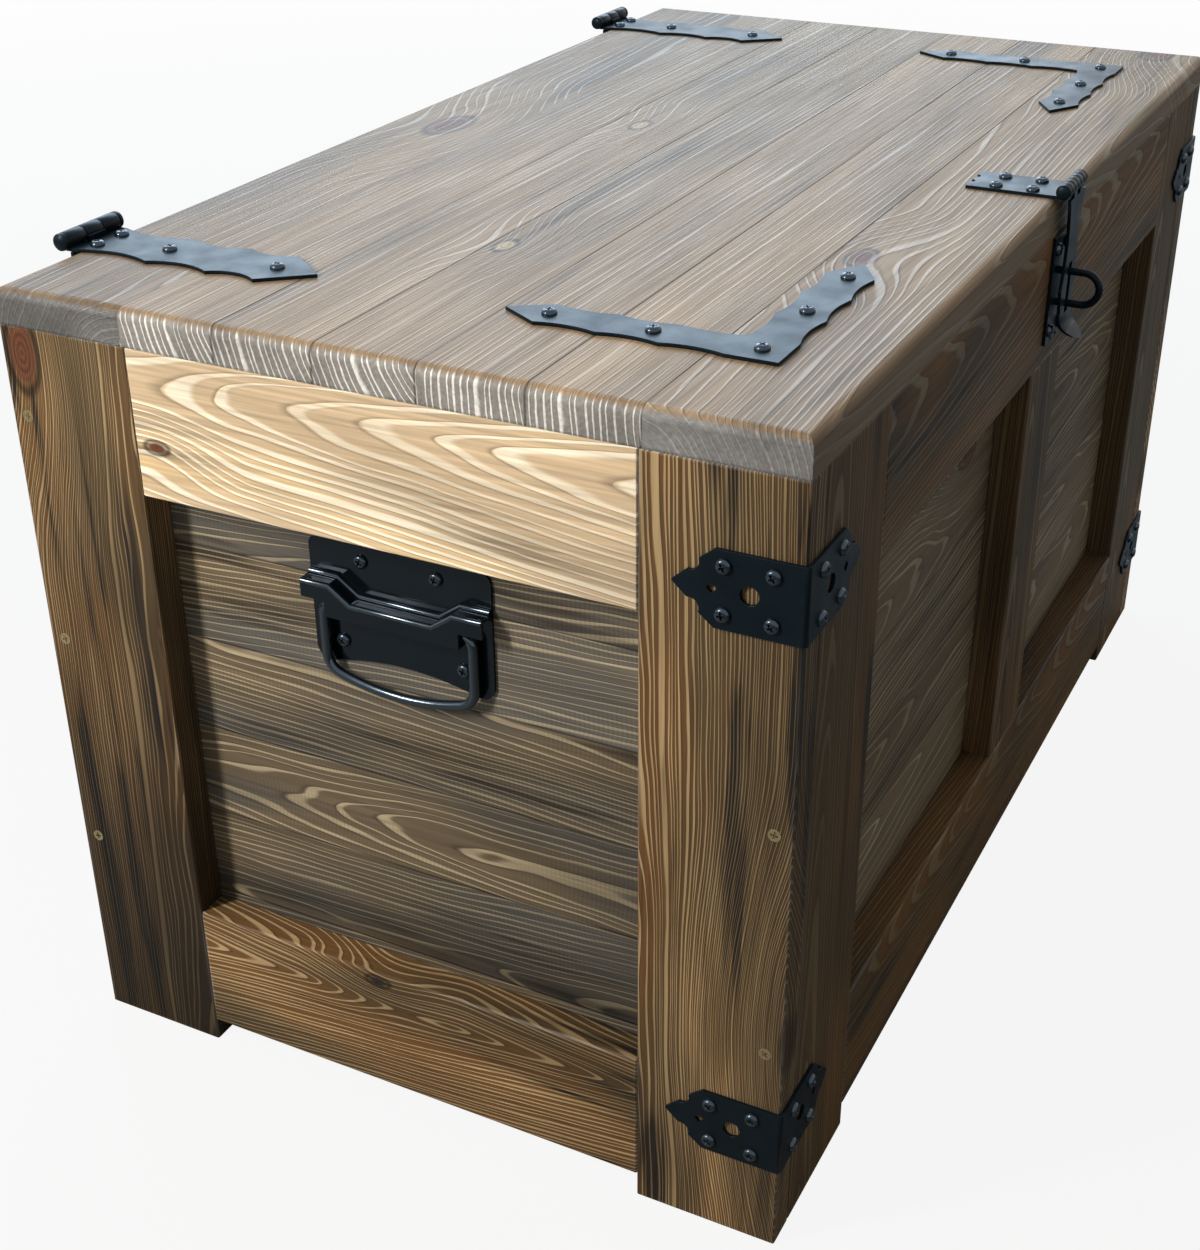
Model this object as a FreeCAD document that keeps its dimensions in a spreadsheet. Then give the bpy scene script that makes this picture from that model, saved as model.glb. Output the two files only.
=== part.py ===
"""A framed pine storage chest with a flat hinged lid and black steel hardware.

Millimetres, +Z up. The origin is on the floor under the middle of the carcass, the front
with the hasp faces -Y and the hinges are at +Y.
"""
import FreeCAD, Part
import math
import os
import re
from types import SimpleNamespace

import Sketcher

Vector = FreeCAD.Vector
X = Vector(1, 0, 0)
Y = Vector(0, 1, 0)
Z = Vector(0, 0, 1)
ORIGIN = Vector(0, 0, 0)

SIZES = {
    # Whole chest
    "chest_length": 800.0,
    "chest_depth": 450.0,
    "carcass_height": 450.0,
    # Planed pine boards of the frames
    "board_thick": 20.0,
    "stile_width": 82.0,
    "middle_stile_width": 64.0,
    "rail_width": 82.0,
    "foot_height": 15.0,
    "board_ease": 0.8,
    # Edge-glued panels behind the frames, and the floor on its bearers
    "stave_width": 58.0,
    "panel_lift": 20.0,
    "floor_thick": 15.0,
    "bearer_width": 25.0,
    "bearer_height": 25.0,
    # Lid boards and the battens under them
    "lid_thick": 20.0,
    "lid_edge_planing": 2.0,
    "lid_round": 6.0,
    "batten_width": 60.0,
    "batten_thick": 18.0,
    "batten_in": 180.0,
    "batten_clearance": 12.0,
    # Steel sheet and the screws that hold it
    "sheet": 2.0,
    "screw_head_radius": 4.0,
    "screw_top_radius": 2.4,
    "screw_head_height": 2.4,
    "screw_shank_radius": 1.8,
    "screw_length": 14.0,
    "screw_hole_clearance": 0.3,
    "frame_screw_length": 40.0,
    "frame_screw_radius": 3.5,
    "frame_screw_low": 130.0,
    "frame_screw_pitch": 135.0,
    # Strap hinges
    "hinge_on_stile": 19.0,
    "hinge_half_width": 21.0,
    "hinge_reach": 144.0,
    "hinge_scallop": 5.0,
    "hinge_barrel_radius": 4.8,
    "hinge_pin_radius": 2.5,
    "hinge_axis_out": 6.0,
    "hinge_axis_up": 5.0,
    "hinge_screw_spread": 10.0,
    "hinge_leaf_drop": 68.0,
    "hinge_leaf_corner": 6.0,
    # Running clearances of every hinge
    "pin_clearance": 0.05,
    "knuckle_gap": 0.4,
    "pin_head_length": 3.6,
    # L-shaped corner straps on the lid
    "corner_strap_on_stile": 19.5,
    "corner_strap_back": 58.0,
    "corner_strap_half_width": 13.5,
    "corner_strap_scallop": 2.6,
    "corner_strap_length_y": 136.5,
    "corner_strap_length_x": 138.0,
    # Folded corner brackets
    "bracket_height": 40.0,
    "bracket_reach": 64.5,
    "bracket_upper_drop": 60.0,
    "bracket_lower_rise": 73.5,
    "bracket_bend_radius": 2.5,
    "bracket_hole_radius": 4.8,
    "bracket_diamond": 3.7,
    "bracket_notch": 3.6,
    # Hasp, its pin, and the staple it drops over
    "hasp_half_width": 16.5,
    "hasp_leaf_length": 55.0,
    "hasp_barrel_radius": 4.5,
    "hasp_pin_radius": 2.0,
    "hasp_axis_out": 3.5,
    "hasp_axis_up": 5.0,
    "hasp_drop": 86.0,
    "hasp_waist": 5.0,
    "hasp_bend_drop": 76.0,
    "hasp_bend_radius": 12.0,
    "hasp_lip": 9.0,
    "hasp_slot_width": 7.0,
    "hasp_slot_height": 31.0,
    "hasp_slot_drop": 61.0,
    "hasp_notch": 2.5,
    "hasp_screw_spread": 10.0,
    "hasp_screw_near": 16.5,
    "hasp_screw_far": 38.5,
    "staple_wire": 4.5,
    "staple_reach": 29.0,
    "staple_spacing": 20.0,
    "staple_plate_height": 66.0,
    "staple_screw_rise": 25.0,
    # Chest handles: a pressed plate with a hood, and a wire bail
    "handle_pivot_drop": 45.5,
    "handle_half_width": 54.0,
    "handle_rise": 35.5,
    "handle_fall": 37.5,
    "handle_sheet": 1.6,
    "handle_corner_top": 6.0,
    "handle_corner_low": 8.0,
    "handle_arch": 6.5,
    "hood_depth": 12.0,
    "hood_shoulder_rise": 14.0,
    "hood_shoulder_in": 37.0,
    "hood_dip_in": 24.5,
    "hood_notch_in": 40.0,
    "hood_notch_rise": 4.0,
    "hood_bend_radius": 1.2,
    "bail_wire": 5.5,
    "bail_clearance": 0.65,
    "bail_half_width": 45.0,
    "bail_end_in": 18.0,
    "bail_top_bend": 6.0,
    "bail_corner": 11.0,
    "bail_bow": 125.0,
    "bail_drop": 47.5,
    "handle_screw_high": 26.0,
    "handle_screw_high_spread": 22.3,
    "handle_screw_low": 23.0,
    "handle_screw_low_spread": 36.5,
    # How far every cut runs past what it cuts
    "overrun": 10.0,
}

# Places along a strap, as shares of its length from root to tip
HINGE_CUSP_SHARES = (0.02, 0.34, 0.61, 0.82)
HINGE_SCREW_SHARES = (0.056, 0.34, 0.826)
CORNER_CUSP_SHARES = (0.10, 0.345, 0.59, 0.835)
CORNER_SCREW_SHARES = (0.41, 0.82)
# Bracket outline along its reach and across its half height
BRACKET_ALONG_SHARES = (0.667, 0.79, 0.876)
BRACKET_ACROSS_SHARES = (1.0, 0.68, 0.36)
BRACKET_SCREW_ALONG_SHARES = (0.228, 0.6)
BRACKET_SCREW_ACROSS_SHARE = 0.61
BRACKET_HOLE_SHARE = 0.403
BRACKET_DIAMOND_SHARE = 0.69
# Hasp strap: its edges down the drop, and half widths across
HASP_ALONG_SHARES = (0.70, 0.86)
HASP_ACROSS_SHARES = (0.94, 0.78)
HASP_TIP_SHARE = 0.3
NOTCH_SHARES = (0.18, 0.48)

LID_STAVES = 5
SCREW_SIDES = 6
WIRE_SIDES = 8
BARREL_SIDES = 12
WIRE_STEP_DEGREES = 15.0
HASP_KNUCKLES = 5
HINGE_KNUCKLES = 3
HASP_BEND_DEGREES = 50.0
FRAME_SCREWS_PER_STILE = 3
PARALLEL = 0.999

doc = FreeCAD.newDocument("chest")
sheet = doc.addObject("Spreadsheet::Sheet", "Sizes")
for row, (name, size) in enumerate(SIZES.items(), 1):
    sheet.set(f"A{row}", name)
    sheet.set(f"B{row}", str(size))
    sheet.setAlias(f"B{row}", name)
doc.recompute()
S = SimpleNamespace(**{name: float(sheet.get(name)) for name in SIZES})

nodes = []
screws = {}


def linked(formula):
    """The formula with each size's name pointed at its cell in the sheet."""
    def cell(match):
        word = match.group()
        return f"Sizes.{word}" if word in SIZES else word
    return re.sub(r"[a-z_]+", cell, formula)


def place(thing, x, y, z):
    """Ties an object's place to formulas of the named sizes."""
    for letter, formula in zip("xyz", (x, y, z)):
        thing.setExpression(f"Placement.Base.{letter}", linked(formula))


# Boards

def rectangle(body, along_x, along_y):
    """A sketch in the body's XY plane: a rectangle from its origin, tied to two formulas."""
    sketch = body.newObject("Sketcher::SketchObject", "Outline")
    plane = next(f for f in body.Origin.OriginFeatures if f.Role == "XY_Plane")
    sketch.AttachmentSupport = [(plane, "")]
    sketch.MapMode = "FlatFace"
    corners = (ORIGIN, X, X + Y, Y)
    for i in range(4):
        sketch.addGeometry(Part.LineSegment(corners[i], corners[(i + 1) % 4]), False)
    for i in range(4):
        sketch.addConstraint(Sketcher.Constraint("Coincident", i, 2, (i + 1) % 4, 1))
    for i in (0, 2):
        sketch.addConstraint(Sketcher.Constraint("Horizontal", i))
        sketch.addConstraint(Sketcher.Constraint("Vertical", i + 1))
    sketch.addConstraint(Sketcher.Constraint("Coincident", 0, 1, -1, 1))
    width = sketch.addConstraint(Sketcher.Constraint("DistanceX", 0, 1, 0, 2, X.Length))
    depth = sketch.addConstraint(Sketcher.Constraint("DistanceY", 1, 1, 1, 2, Y.Length))
    sketch.setExpression(f"Constraints[{width}]", linked(along_x))
    sketch.setExpression(f"Constraints[{depth}]", linked(along_y))
    return sketch


def board(label, size, at):
    """A planed board: a rectangle padded upwards, its low corner at three formulas."""
    body = doc.addObject("PartDesign::Body", label)
    body.Label = label
    pad = body.newObject("PartDesign::Pad", "Plank")
    pad.Profile = rectangle(body, size[0], size[1])
    pad.setExpression("Length", linked(size[2]))
    body.Tip = pad
    place(body, *at)
    return body


def edges_of(shape, wanted):
    """The names of a shape's straight edges whose direction and middle are wanted."""
    names = []
    for number, edge in enumerate(shape.Edges, 1):
        run = edge.Vertexes[-1].Point - edge.Vertexes[0].Point
        if wanted(run.normalize(), edge.CenterOfMass):
            names.append(f"Edge{number}")
    return names


def eased(bodies, grain, size):
    """Chamfers the long edges of finished boards."""
    doc.recompute()
    for body in bodies:
        plank = body.Tip
        chamfer = body.newObject("PartDesign::Chamfer", "Eased")
        long_edges = edges_of(plank.Shape, lambda run, middle: abs(run.dot(grain)) > PARALLEL)
        chamfer.Base = (plank, long_edges)
        chamfer.setExpression("Size", linked(size))
        body.Tip = chamfer


def rounded(body, front=False, back=False):
    """Rounds a lid board's top edges at both ends, and along its front or back."""
    plank = body.Tip
    box = plank.Shape.BoundBox

    def shows(run, middle):
        if middle.z < box.Center.z or abs(run.dot(Z)) > PARALLEL:
            return False
        if abs(run.dot(Y)) > PARALLEL:
            return True
        return front if middle.y < box.Center.y else back

    fillet = body.newObject("PartDesign::Fillet", "Rounded")
    fillet.Base = (plank, edges_of(plank.Shape, shows))
    fillet.setExpression("Radius", linked("lid_round"))
    body.Tip = fillet


def frames():
    """The four framed sides: stiles that reach the floor, with rails between them."""
    upright, across, along = [], [], []
    rails = (("top", "carcass_height - rail_width"), ("bottom", "foot_height"))
    for side, x in (("left", "-chest_length / 2"), ("right", "chest_length / 2 - board_thick")):
        for end, y in (("front", "-chest_depth / 2"), ("back", "chest_depth / 2 - stile_width")):
            size = ("board_thick", "stile_width", "carcass_height")
            upright.append(board(f"{side}_end_{end}_stile", size, (x, y, "0")))
        for level, z in rails:
            size = ("board_thick", "chest_depth - 2 * stile_width", "rail_width")
            at = (x, "stile_width - chest_depth / 2", z)
            across.append(board(f"{side}_end_{level}_rail", size, at))
    inner = "(chest_length / 2 - board_thick)"
    for face, y in (("front", "-chest_depth / 2"), ("back", "chest_depth / 2 - board_thick")):
        for side, x in (("left", f"-{inner}"), ("right", f"{inner} - stile_width")):
            size = ("stile_width", "board_thick", "carcass_height")
            upright.append(board(f"{face}_{side}_stile", size, (x, y, "0")))
        size = ("middle_stile_width", "board_thick", "carcass_height - foot_height - 2 * rail_width")
        at = ("-middle_stile_width / 2", y, "foot_height + rail_width")
        upright.append(board(f"{face}_middle_stile", size, at))
        for level, z in rails:
            size = (f"2 * {inner} - 2 * stile_width", "board_thick", "rail_width")
            along.append(board(f"{face}_{level}_rail", size, (f"stile_width - {inner}", y, z)))
    for bodies, grain in ((upright, Z), (across, Y), (along, X)):
        eased(bodies, grain, "board_ease")
        nodes.extend(bodies)


def joined(label, bodies):
    """Boards that are glued or used together, as one sub-part of separate solids."""
    group = doc.addObject("Part::Compound", label)
    group.Label = label
    group.Links = bodies
    nodes.append(group)


def wall(label, size, at):
    """An upright panel of level staves, laid from the rim down to the lift above the floor."""
    count = math.ceil((S.carcass_height - S.panel_lift) / S.stave_width)
    staves = []
    for number in range(1, count + 1):
        low, tall = f"carcass_height - {number} * stave_width", "stave_width"
        if number == count:
            low, tall = "panel_lift", f"carcass_height - panel_lift - {number - 1} * stave_width"
        staves.append(board(f"{label}_stave_{number}", (*size, tall), (*at, low)))
    joined(label, staves)


def walls_and_floor():
    """The inner box behind the frames: four stave panels, and a floor on two bearers."""
    long_size = ("chest_length - 2 * board_thick", "board_thick")
    end_size = ("board_thick", "chest_depth - 4 * board_thick")
    left = "board_thick - chest_length / 2"
    back = "chest_depth / 2 - 2 * board_thick"
    end_y = "2 * board_thick - chest_depth / 2"
    wall("front_panel", long_size, (left, "board_thick - chest_depth / 2"))
    wall("back_panel", long_size, (left, back))
    wall("left_end_panel", end_size, (left, end_y))
    wall("right_end_panel", end_size, ("chest_length / 2 - 2 * board_thick", end_y))
    inside = ("chest_length - 4 * board_thick", "chest_depth - 4 * board_thick")
    corner = ("2 * board_thick - chest_length / 2", "2 * board_thick - chest_depth / 2")
    floor = board("floor_panel", (*inside, "floor_thick"), (*corner, "panel_lift + bearer_height"))
    size = (inside[0], "bearer_width", "bearer_height")
    front_bearer = board("front_floor_bearer", size, (*corner, "panel_lift"))
    back_bearer = board("back_floor_bearer", size, (corner[0], f"{back} - bearer_width", "panel_lift"))
    bodies = [floor, front_bearer, back_bearer]
    eased(bodies, X, "board_ease")
    nodes.extend(bodies)


def lid_boards():
    """The lid: two edge boards with glued staves between them, and two battens underneath."""
    left = "-chest_length / 2"
    wide = "(stile_width - lid_edge_planing)"
    edge = ("chest_length", wide, "lid_thick")
    front = board("lid_front_board", edge, (left, "-chest_depth / 2", "carcass_height"))
    back = board("lid_back_board", edge, (left, f"chest_depth / 2 - {wide}", "carcass_height"))
    stave = f"(chest_depth - 2 * {wide}) / {LID_STAVES}"
    staves = []
    for number in range(LID_STAVES):
        at = (left, f"{wide} - chest_depth / 2 + {number} * {stave}", "carcass_height")
        staves.append(board(f"lid_stave_{number + 1}", ("chest_length", stave, "lid_thick"), at))
    doc.recompute()
    rounded(front, front=True)
    rounded(back, back=True)
    for body in staves:
        rounded(body)
    nodes.extend([front, back])
    joined("lid_panel", staves)
    reach = "(chest_depth / 2 - 2 * board_thick - batten_clearance)"
    size = ("batten_width", f"2 * {reach}", "batten_thick")
    battens = []
    for side, x in (("left", "batten_in - chest_length / 2"), ("right", "chest_length / 2 - batten_in")):
        at = (f"{x} - batten_width / 2", f"-{reach}", "carcass_height - batten_thick")
        battens.append(board(f"lid_{side}_batten", size, at))
    eased(battens, Y, "board_ease")
    nodes.extend(battens)


# Steel sheet

def made(label, shape):
    """A sub-part whose shape is worked out from the sheet's sizes."""
    node = doc.addObject("Part::Feature", label)
    node.Label = label
    node.Shape = shape
    nodes.append(node)


def outline(start, *steps):
    """A closed wire: each step is the next corner, or an arc's middle and end."""
    edges = []
    here = start
    for step in (*steps, start):
        there = step[1] if isinstance(step, tuple) else step
        if isinstance(step, tuple):
            edges.append(Part.Arc(here, step[0], there).toShape())
        elif here.distanceToPoint(there) > 0:
            edges.append(Part.makeLine(here, there))
        here = there
    return Part.Wire(edges)


def sheet_of(wire, thick):
    """A closed outline as sheet of a thickness along +Z, or a prism where thick is long."""
    return Part.Face(wire).extrude(Z * thick)


def scallops(points, bite):
    """Arcs from each cusp to the next along a strap's side, bitten towards its middle line."""
    steps = []
    for here, there in zip(points, points[1:]):
        middle = (here + there) / 2
        middle.y -= math.copysign(bite, middle.y)
        steps.append((middle, there))
    return steps


def spear(root, cusps, half_width, bite, tip):
    """A strap's outline along +X: a plain root, scallops on both sides, then a point."""
    right = [Vector(along, -half_width, 0) for along in cusps]
    left = [Vector(along, half_width, 0) for along in reversed(cusps)]
    steps = [right[0], *scallops(right, bite), X * tip, left[0], *scallops(left, bite)]
    return outline(Vector(root, -half_width, 0), *steps, Vector(root, half_width, 0))


def flat_sided(rings):
    """A solid through rings of corners: flat sides from each ring to the next, and a flat end on each."""
    faces = [Part.Face(Part.makePolygon(rings[0][::-1])), Part.Face(Part.makePolygon(rings[-1]))]
    for low, high in zip(rings, rings[1:]):
        for i in range(len(low) - 1):
            faces.append(Part.Face(Part.makePolygon([low[i], low[i + 1], high[i + 1], high[i], low[i]])))
    return Part.Solid(Part.Shell(faces))


def prism(low_radius, high_radius, low, high, sides):
    """A prism or frustum about the Z axis, for what is round and small."""
    turns = [2 * math.pi * i / sides for i in range(sides + 1)]
    levels = ((low_radius, low), (high_radius, high))
    return flat_sided([[Vector(r * math.cos(a), r * math.sin(a), z) for a in turns] for r, z in levels])


def at_seat(shape, seat):
    """A copy of a screw or hole whose Z axis points out of a seat: a point and its outward normal."""
    copy = shape.copy()
    copy.Placement = FreeCAD.Placement(seat[0], FreeCAD.Rotation(Z, seat[1]))
    return copy


def drilled(shape, seats):
    """A sheet with a screw hole at each seat."""
    radius = S.screw_shank_radius + S.screw_hole_clearance
    hole = prism(radius, radius, -S.overrun / 2, S.overrun / 2, SCREW_SIDES)
    return shape.cut([at_seat(hole, seat) for seat in seats])


def moved(placement, shape, seats):
    """A shape and its screw seats, put in place together."""
    turned = shape.copy()
    turned.Placement = placement.multiply(turned.Placement)
    return turned, [(placement.multVec(p), placement.Rotation.multVec(n)) for p, n in seats]


def mirrored(shape, seats):
    """The other hand of a shape and its screw seats."""
    def flip(v):
        return Vector(-v.x, v.y, v.z)
    return shape.mirror(ORIGIN, X), [(flip(p), flip(n)) for p, n in seats]


def bore_for(pin_radius, axis):
    """The hole for a pin along X: its flat sides are the running clearance away from the pin."""
    radius = (pin_radius + S.pin_clearance) / math.cos(math.pi / BARREL_SIDES)
    return at_seat(prism(radius, radius, -HALF_LENGTH, HALF_LENGTH, BARREL_SIDES), (axis, X))


def knuckles(radius, half_width, count, mine, axis):
    """Every second knuckle of a barrel along X, with a gap at each joint."""
    pitch = 2 * half_width / count
    out = []
    for number in range(mine, count, 2):
        low = -half_width + number * pitch + (S.knuckle_gap / 2 if number else 0)
        high = -half_width + (number + 1) * pitch - (S.knuckle_gap / 2 if number < count - 1 else 0)
        out.append(at_seat(prism(radius, radius, low, high, BARREL_SIDES), (axis, X)))
    return out


def room_for_knuckles(half_width, count, mine, low, high):
    """The cut-outs beside the other leaf's knuckles, as boxes across two corners of the YZ plane."""
    pitch = 2 * half_width / count
    out = []
    for number in range(mine, count, 2):
        left = -half_width + number * pitch - S.knuckle_gap / 2
        if number == 0:
            left -= S.overrun
        width = pitch + S.knuckle_gap + (S.overrun if number in (0, count - 1) else 0)
        out.append(Part.makeBox(width, high.y - low.y, high.z - low.z, Vector(left, low.y, low.z)))
    return out


def pin(label, radius, head_radius, half_width, x, y, z):
    """A hinge pin along X with a button head at each end."""
    shaft = doc.addObject("Part::Cylinder", f"{label}_shaft")
    shaft.setExpression("Radius", linked(radius))
    shaft.setExpression("Height", linked(f"2 * {half_width} + 2 * knuckle_gap"))
    shaft.Placement.Rotation = FreeCAD.Rotation(Y, 90)
    place(shaft, f"{x} - {half_width} - knuckle_gap", y, z)
    parts = [shaft]
    for end, sign, turn in (("left", "-", -90), ("right", "+", 90)):
        head = doc.addObject("Part::Prism", f"{label}_{end}_head")
        head.Polygon = BARREL_SIDES
        head.setExpression("Circumradius", linked(head_radius))
        head.setExpression("Height", linked("pin_head_length"))
        head.Placement.Rotation = FreeCAD.Rotation(Y, turn)
        place(head, f"{x} {sign} ({half_width} + knuckle_gap)", y, z)
        parts.append(head)
    whole = doc.addObject("Part::MultiFuse", label)
    whole.Label = label
    whole.Shapes = parts
    nodes.append(whole)


LID_TOP = S.carcass_height + S.lid_thick
HALF_LENGTH = S.chest_length / 2
HALF_DEPTH = S.chest_depth / 2
# The inner edge of the front and back frames' stiles
STILE_EDGE = HALF_LENGTH - S.board_thick - S.stile_width


def hinges():
    """Two strap hinges: a scalloped strap on the lid, a leaf down the back, and a pin."""
    axis_y = HALF_DEPTH + S.hinge_axis_out
    axis = Vector(0, axis_y, LID_TOP + S.hinge_axis_up)
    reach = S.hinge_reach + S.hinge_axis_out
    cusps = [S.hinge_axis_out + share * S.hinge_reach for share in HINGE_CUSP_SHARES]
    plate = sheet_of(spear(0, cusps, S.hinge_half_width, S.hinge_scallop, reach), S.sheet)
    along = [S.hinge_axis_out + share * S.hinge_reach for share in HINGE_SCREW_SHARES]
    spread = S.hinge_screw_spread
    spots = [(along[0], -spread), (along[0], spread), (along[1], 0), (along[2], 0)]
    seats = [(Vector(u, v, S.sheet), Z) for u, v in spots]
    lie = FreeCAD.Placement(Vector(0, axis_y, LID_TOP), FreeCAD.Rotation(Z, -90))
    strap, strap_seats = moved(lie, drilled(plate, seats), seats)
    bore = bore_for(S.hinge_pin_radius, axis)
    wrap = S.hinge_barrel_radius + S.knuckle_gap
    room_low = Vector(0, HALF_DEPTH - S.knuckle_gap, LID_TOP - S.overrun)
    room_high = Vector(0, axis_y + wrap, LID_TOP + S.overrun)
    strap = strap.cut(room_for_knuckles(S.hinge_half_width, HINGE_KNUCKLES, 1, room_low, room_high))
    barrel = knuckles(S.hinge_barrel_radius, S.hinge_half_width, HINGE_KNUCKLES, 0, axis)
    strap = strap.fuse(barrel).cut(bore)

    leaf_top = LID_TOP - S.knuckle_gap
    low = leaf_top - S.hinge_leaf_drop
    half, corner = S.hinge_half_width, S.hinge_leaf_corner
    neck = half / HINGE_KNUCKLES - S.knuckle_gap / 2
    shape = outline(
        Vector(-neck, axis.z, 0), Vector(-neck, leaf_top, 0), Vector(-half, leaf_top, 0),
        Vector(-half, low + corner, 0), Vector(corner - half, low, 0), Vector(half - corner, low, 0),
        Vector(half, low + corner, 0), Vector(half, leaf_top, 0), Vector(neck, leaf_top, 0),
        Vector(neck, axis.z, 0))
    levels = (S.carcass_height - spread, low + spread)
    seats = [(Vector(u, v, 0), -Z) for u in (-spread, spread) for v in levels]
    upright = FreeCAD.Placement(Vector(0, HALF_DEPTH + S.sheet, 0), FreeCAD.Rotation(X, 90))
    leaf, leaf_seats = moved(upright, drilled(sheet_of(shape, S.sheet), seats), seats)
    barrel = knuckles(S.hinge_barrel_radius, S.hinge_half_width, HINGE_KNUCKLES, 1, axis)
    leaf = leaf.fuse(barrel).cut(bore)

    middle = STILE_EDGE + S.hinge_on_stile
    for side, sign in (("left", -1), ("right", 1)):
        shift = FreeCAD.Placement(X * sign * middle, FreeCAD.Rotation())
        shape, seats = moved(shift, strap, strap_seats)
        made(f"{side}_hinge_strap", shape)
        screws.setdefault("lid_screws", []).extend(seats)
        shape, seats = moved(shift, leaf, leaf_seats)
        made(f"{side}_hinge_back_leaf", shape)
        screws.setdefault("hinge_leaf_screws", []).extend(seats)
        pin(f"{side}_hinge_pin", "hinge_pin_radius", "hinge_barrel_radius", "hinge_half_width",
            f"{sign} * (chest_length / 2 - board_thick - stile_width + hinge_on_stile)",
            "chest_depth / 2 + hinge_axis_out",
            "carcass_height + lid_thick + hinge_axis_up")


def corner_straps():
    """Two L-shaped straps that tie the lid's boards together at its front corners."""
    half = S.corner_strap_half_width
    arms, seats = [], [(Z * S.sheet, Z)]
    for length, turn in ((S.corner_strap_length_y, 90), (S.corner_strap_length_x, 0)):
        cusps = [share * length for share in CORNER_CUSP_SHARES]
        arm = sheet_of(spear(-half, cusps, half, S.corner_strap_scallop, length), S.sheet)
        spots = [(Vector(share * length, 0, S.sheet), Z) for share in CORNER_SCREW_SHARES]
        arm, spots = moved(FreeCAD.Placement(ORIGIN, FreeCAD.Rotation(Z, turn)), arm, spots)
        arms.append(arm)
        seats += spots
    both = drilled(arms[0].fuse(arms[1]).removeSplitter(), seats)
    elbow_x = STILE_EDGE + S.corner_strap_on_stile
    elbow = Vector(-elbow_x, S.corner_strap_back - HALF_DEPTH, LID_TOP)
    left, left_seats = moved(FreeCAD.Placement(elbow, FreeCAD.Rotation()), both, seats)
    right, right_seats = mirrored(left, left_seats)
    made("lid_corner_straps", Part.makeCompound([left, right]))
    screws.setdefault("lid_screws", []).extend(left_seats + right_seats)


def bracket_leg():
    """One flat leg of a corner bracket along +X, with its spear end, holes and screw seats."""
    half = S.bracket_height / 2
    along = [share * S.bracket_reach for share in BRACKET_ALONG_SHARES]
    across = [share * half for share in BRACKET_ACROSS_SHARES]
    right = [Vector(u, -v, 0) for u, v in zip(along, across)]
    left = [Vector(u, v, 0) for u, v in zip(along, across)]
    bite = (right[1] + right[2]) / 2 + Vector(-S.bracket_notch / 2, S.bracket_notch / 2, 0)
    other = Vector(bite.x, -bite.y, 0)
    shape = outline(
        Vector(-S.sheet, -half, 0), right[0], right[1], (bite, right[2]), X * S.bracket_reach,
        left[2], (other, left[1]), left[0], Vector(-S.sheet, half, 0))
    leg = sheet_of(shape, S.sheet)
    middle = X * BRACKET_HOLE_SHARE * S.bracket_reach
    radius = S.bracket_hole_radius
    hole = at_seat(prism(radius, radius, -S.overrun, S.overrun, BARREL_SIDES), (middle, Z))
    point = S.bracket_diamond / math.sqrt(2)
    middle = X * BRACKET_DIAMOND_SHARE * S.bracket_reach
    corners = (middle - X * point, middle - Y * point, middle + X * point, middle + Y * point)
    diamond = sheet_of(outline(*corners), S.sheet)
    seats = []
    for share in BRACKET_SCREW_ALONG_SHARES:
        for across in (-BRACKET_SCREW_ACROSS_SHARE * half, BRACKET_SCREW_ACROSS_SHARE * half):
            seats.append((Vector(share * S.bracket_reach, across, S.sheet), Z))
    return drilled(leg.cut([hole, diamond]), seats), seats


def brackets():
    """Four brackets folded round the front corners of the carcass."""
    leg, leg_seats = bracket_leg()
    corner = Vector(-HALF_LENGTH, -HALF_DEPTH, 0)
    on_front = FreeCAD.Placement(corner, FreeCAD.Rotation(X, 90))
    on_end = FreeCAD.Placement(corner, FreeCAD.Rotation(Y, -Z, -X))
    front, front_seats = moved(on_front, leg, leg_seats)
    end, end_seats = moved(on_end, leg, leg_seats)
    folded = front.fuse(end).removeSplitter()
    fold = [e for e in folded.Edges if e.BoundBox.XMax < -HALF_LENGTH and e.BoundBox.YMax < -HALF_DEPTH
            and e.BoundBox.ZLength > S.sheet]
    folded = folded.makeFillet(S.bracket_bend_radius, fold)
    every = []
    for level in (S.carcass_height - S.bracket_upper_drop, S.bracket_lower_rise):
        lift = FreeCAD.Placement(Z * level, FreeCAD.Rotation())
        left, left_seats = moved(lift, folded, front_seats + end_seats)
        right, right_seats = mirrored(left, left_seats)
        every += [left, right]
        screws.setdefault("bracket_screws", []).extend(left_seats + right_seats)
    made("corner_brackets", Part.makeCompound(every))


def notched(root, length, half_width):
    """A plate's outline along +X whose far end has two round notches."""
    near, far = (share * half_width for share in NOTCH_SHARES)
    deep = length - S.hasp_notch
    return outline(
        Vector(root, -half_width, 0), Vector(length, -half_width, 0), Vector(length, -far, 0),
        (Vector(deep, -(near + far) / 2, 0), Vector(length, -near, 0)), Vector(length, near, 0),
        (Vector(deep, (near + far) / 2, 0), Vector(length, far, 0)), Vector(length, half_width, 0),
        Vector(root, half_width, 0))


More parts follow.
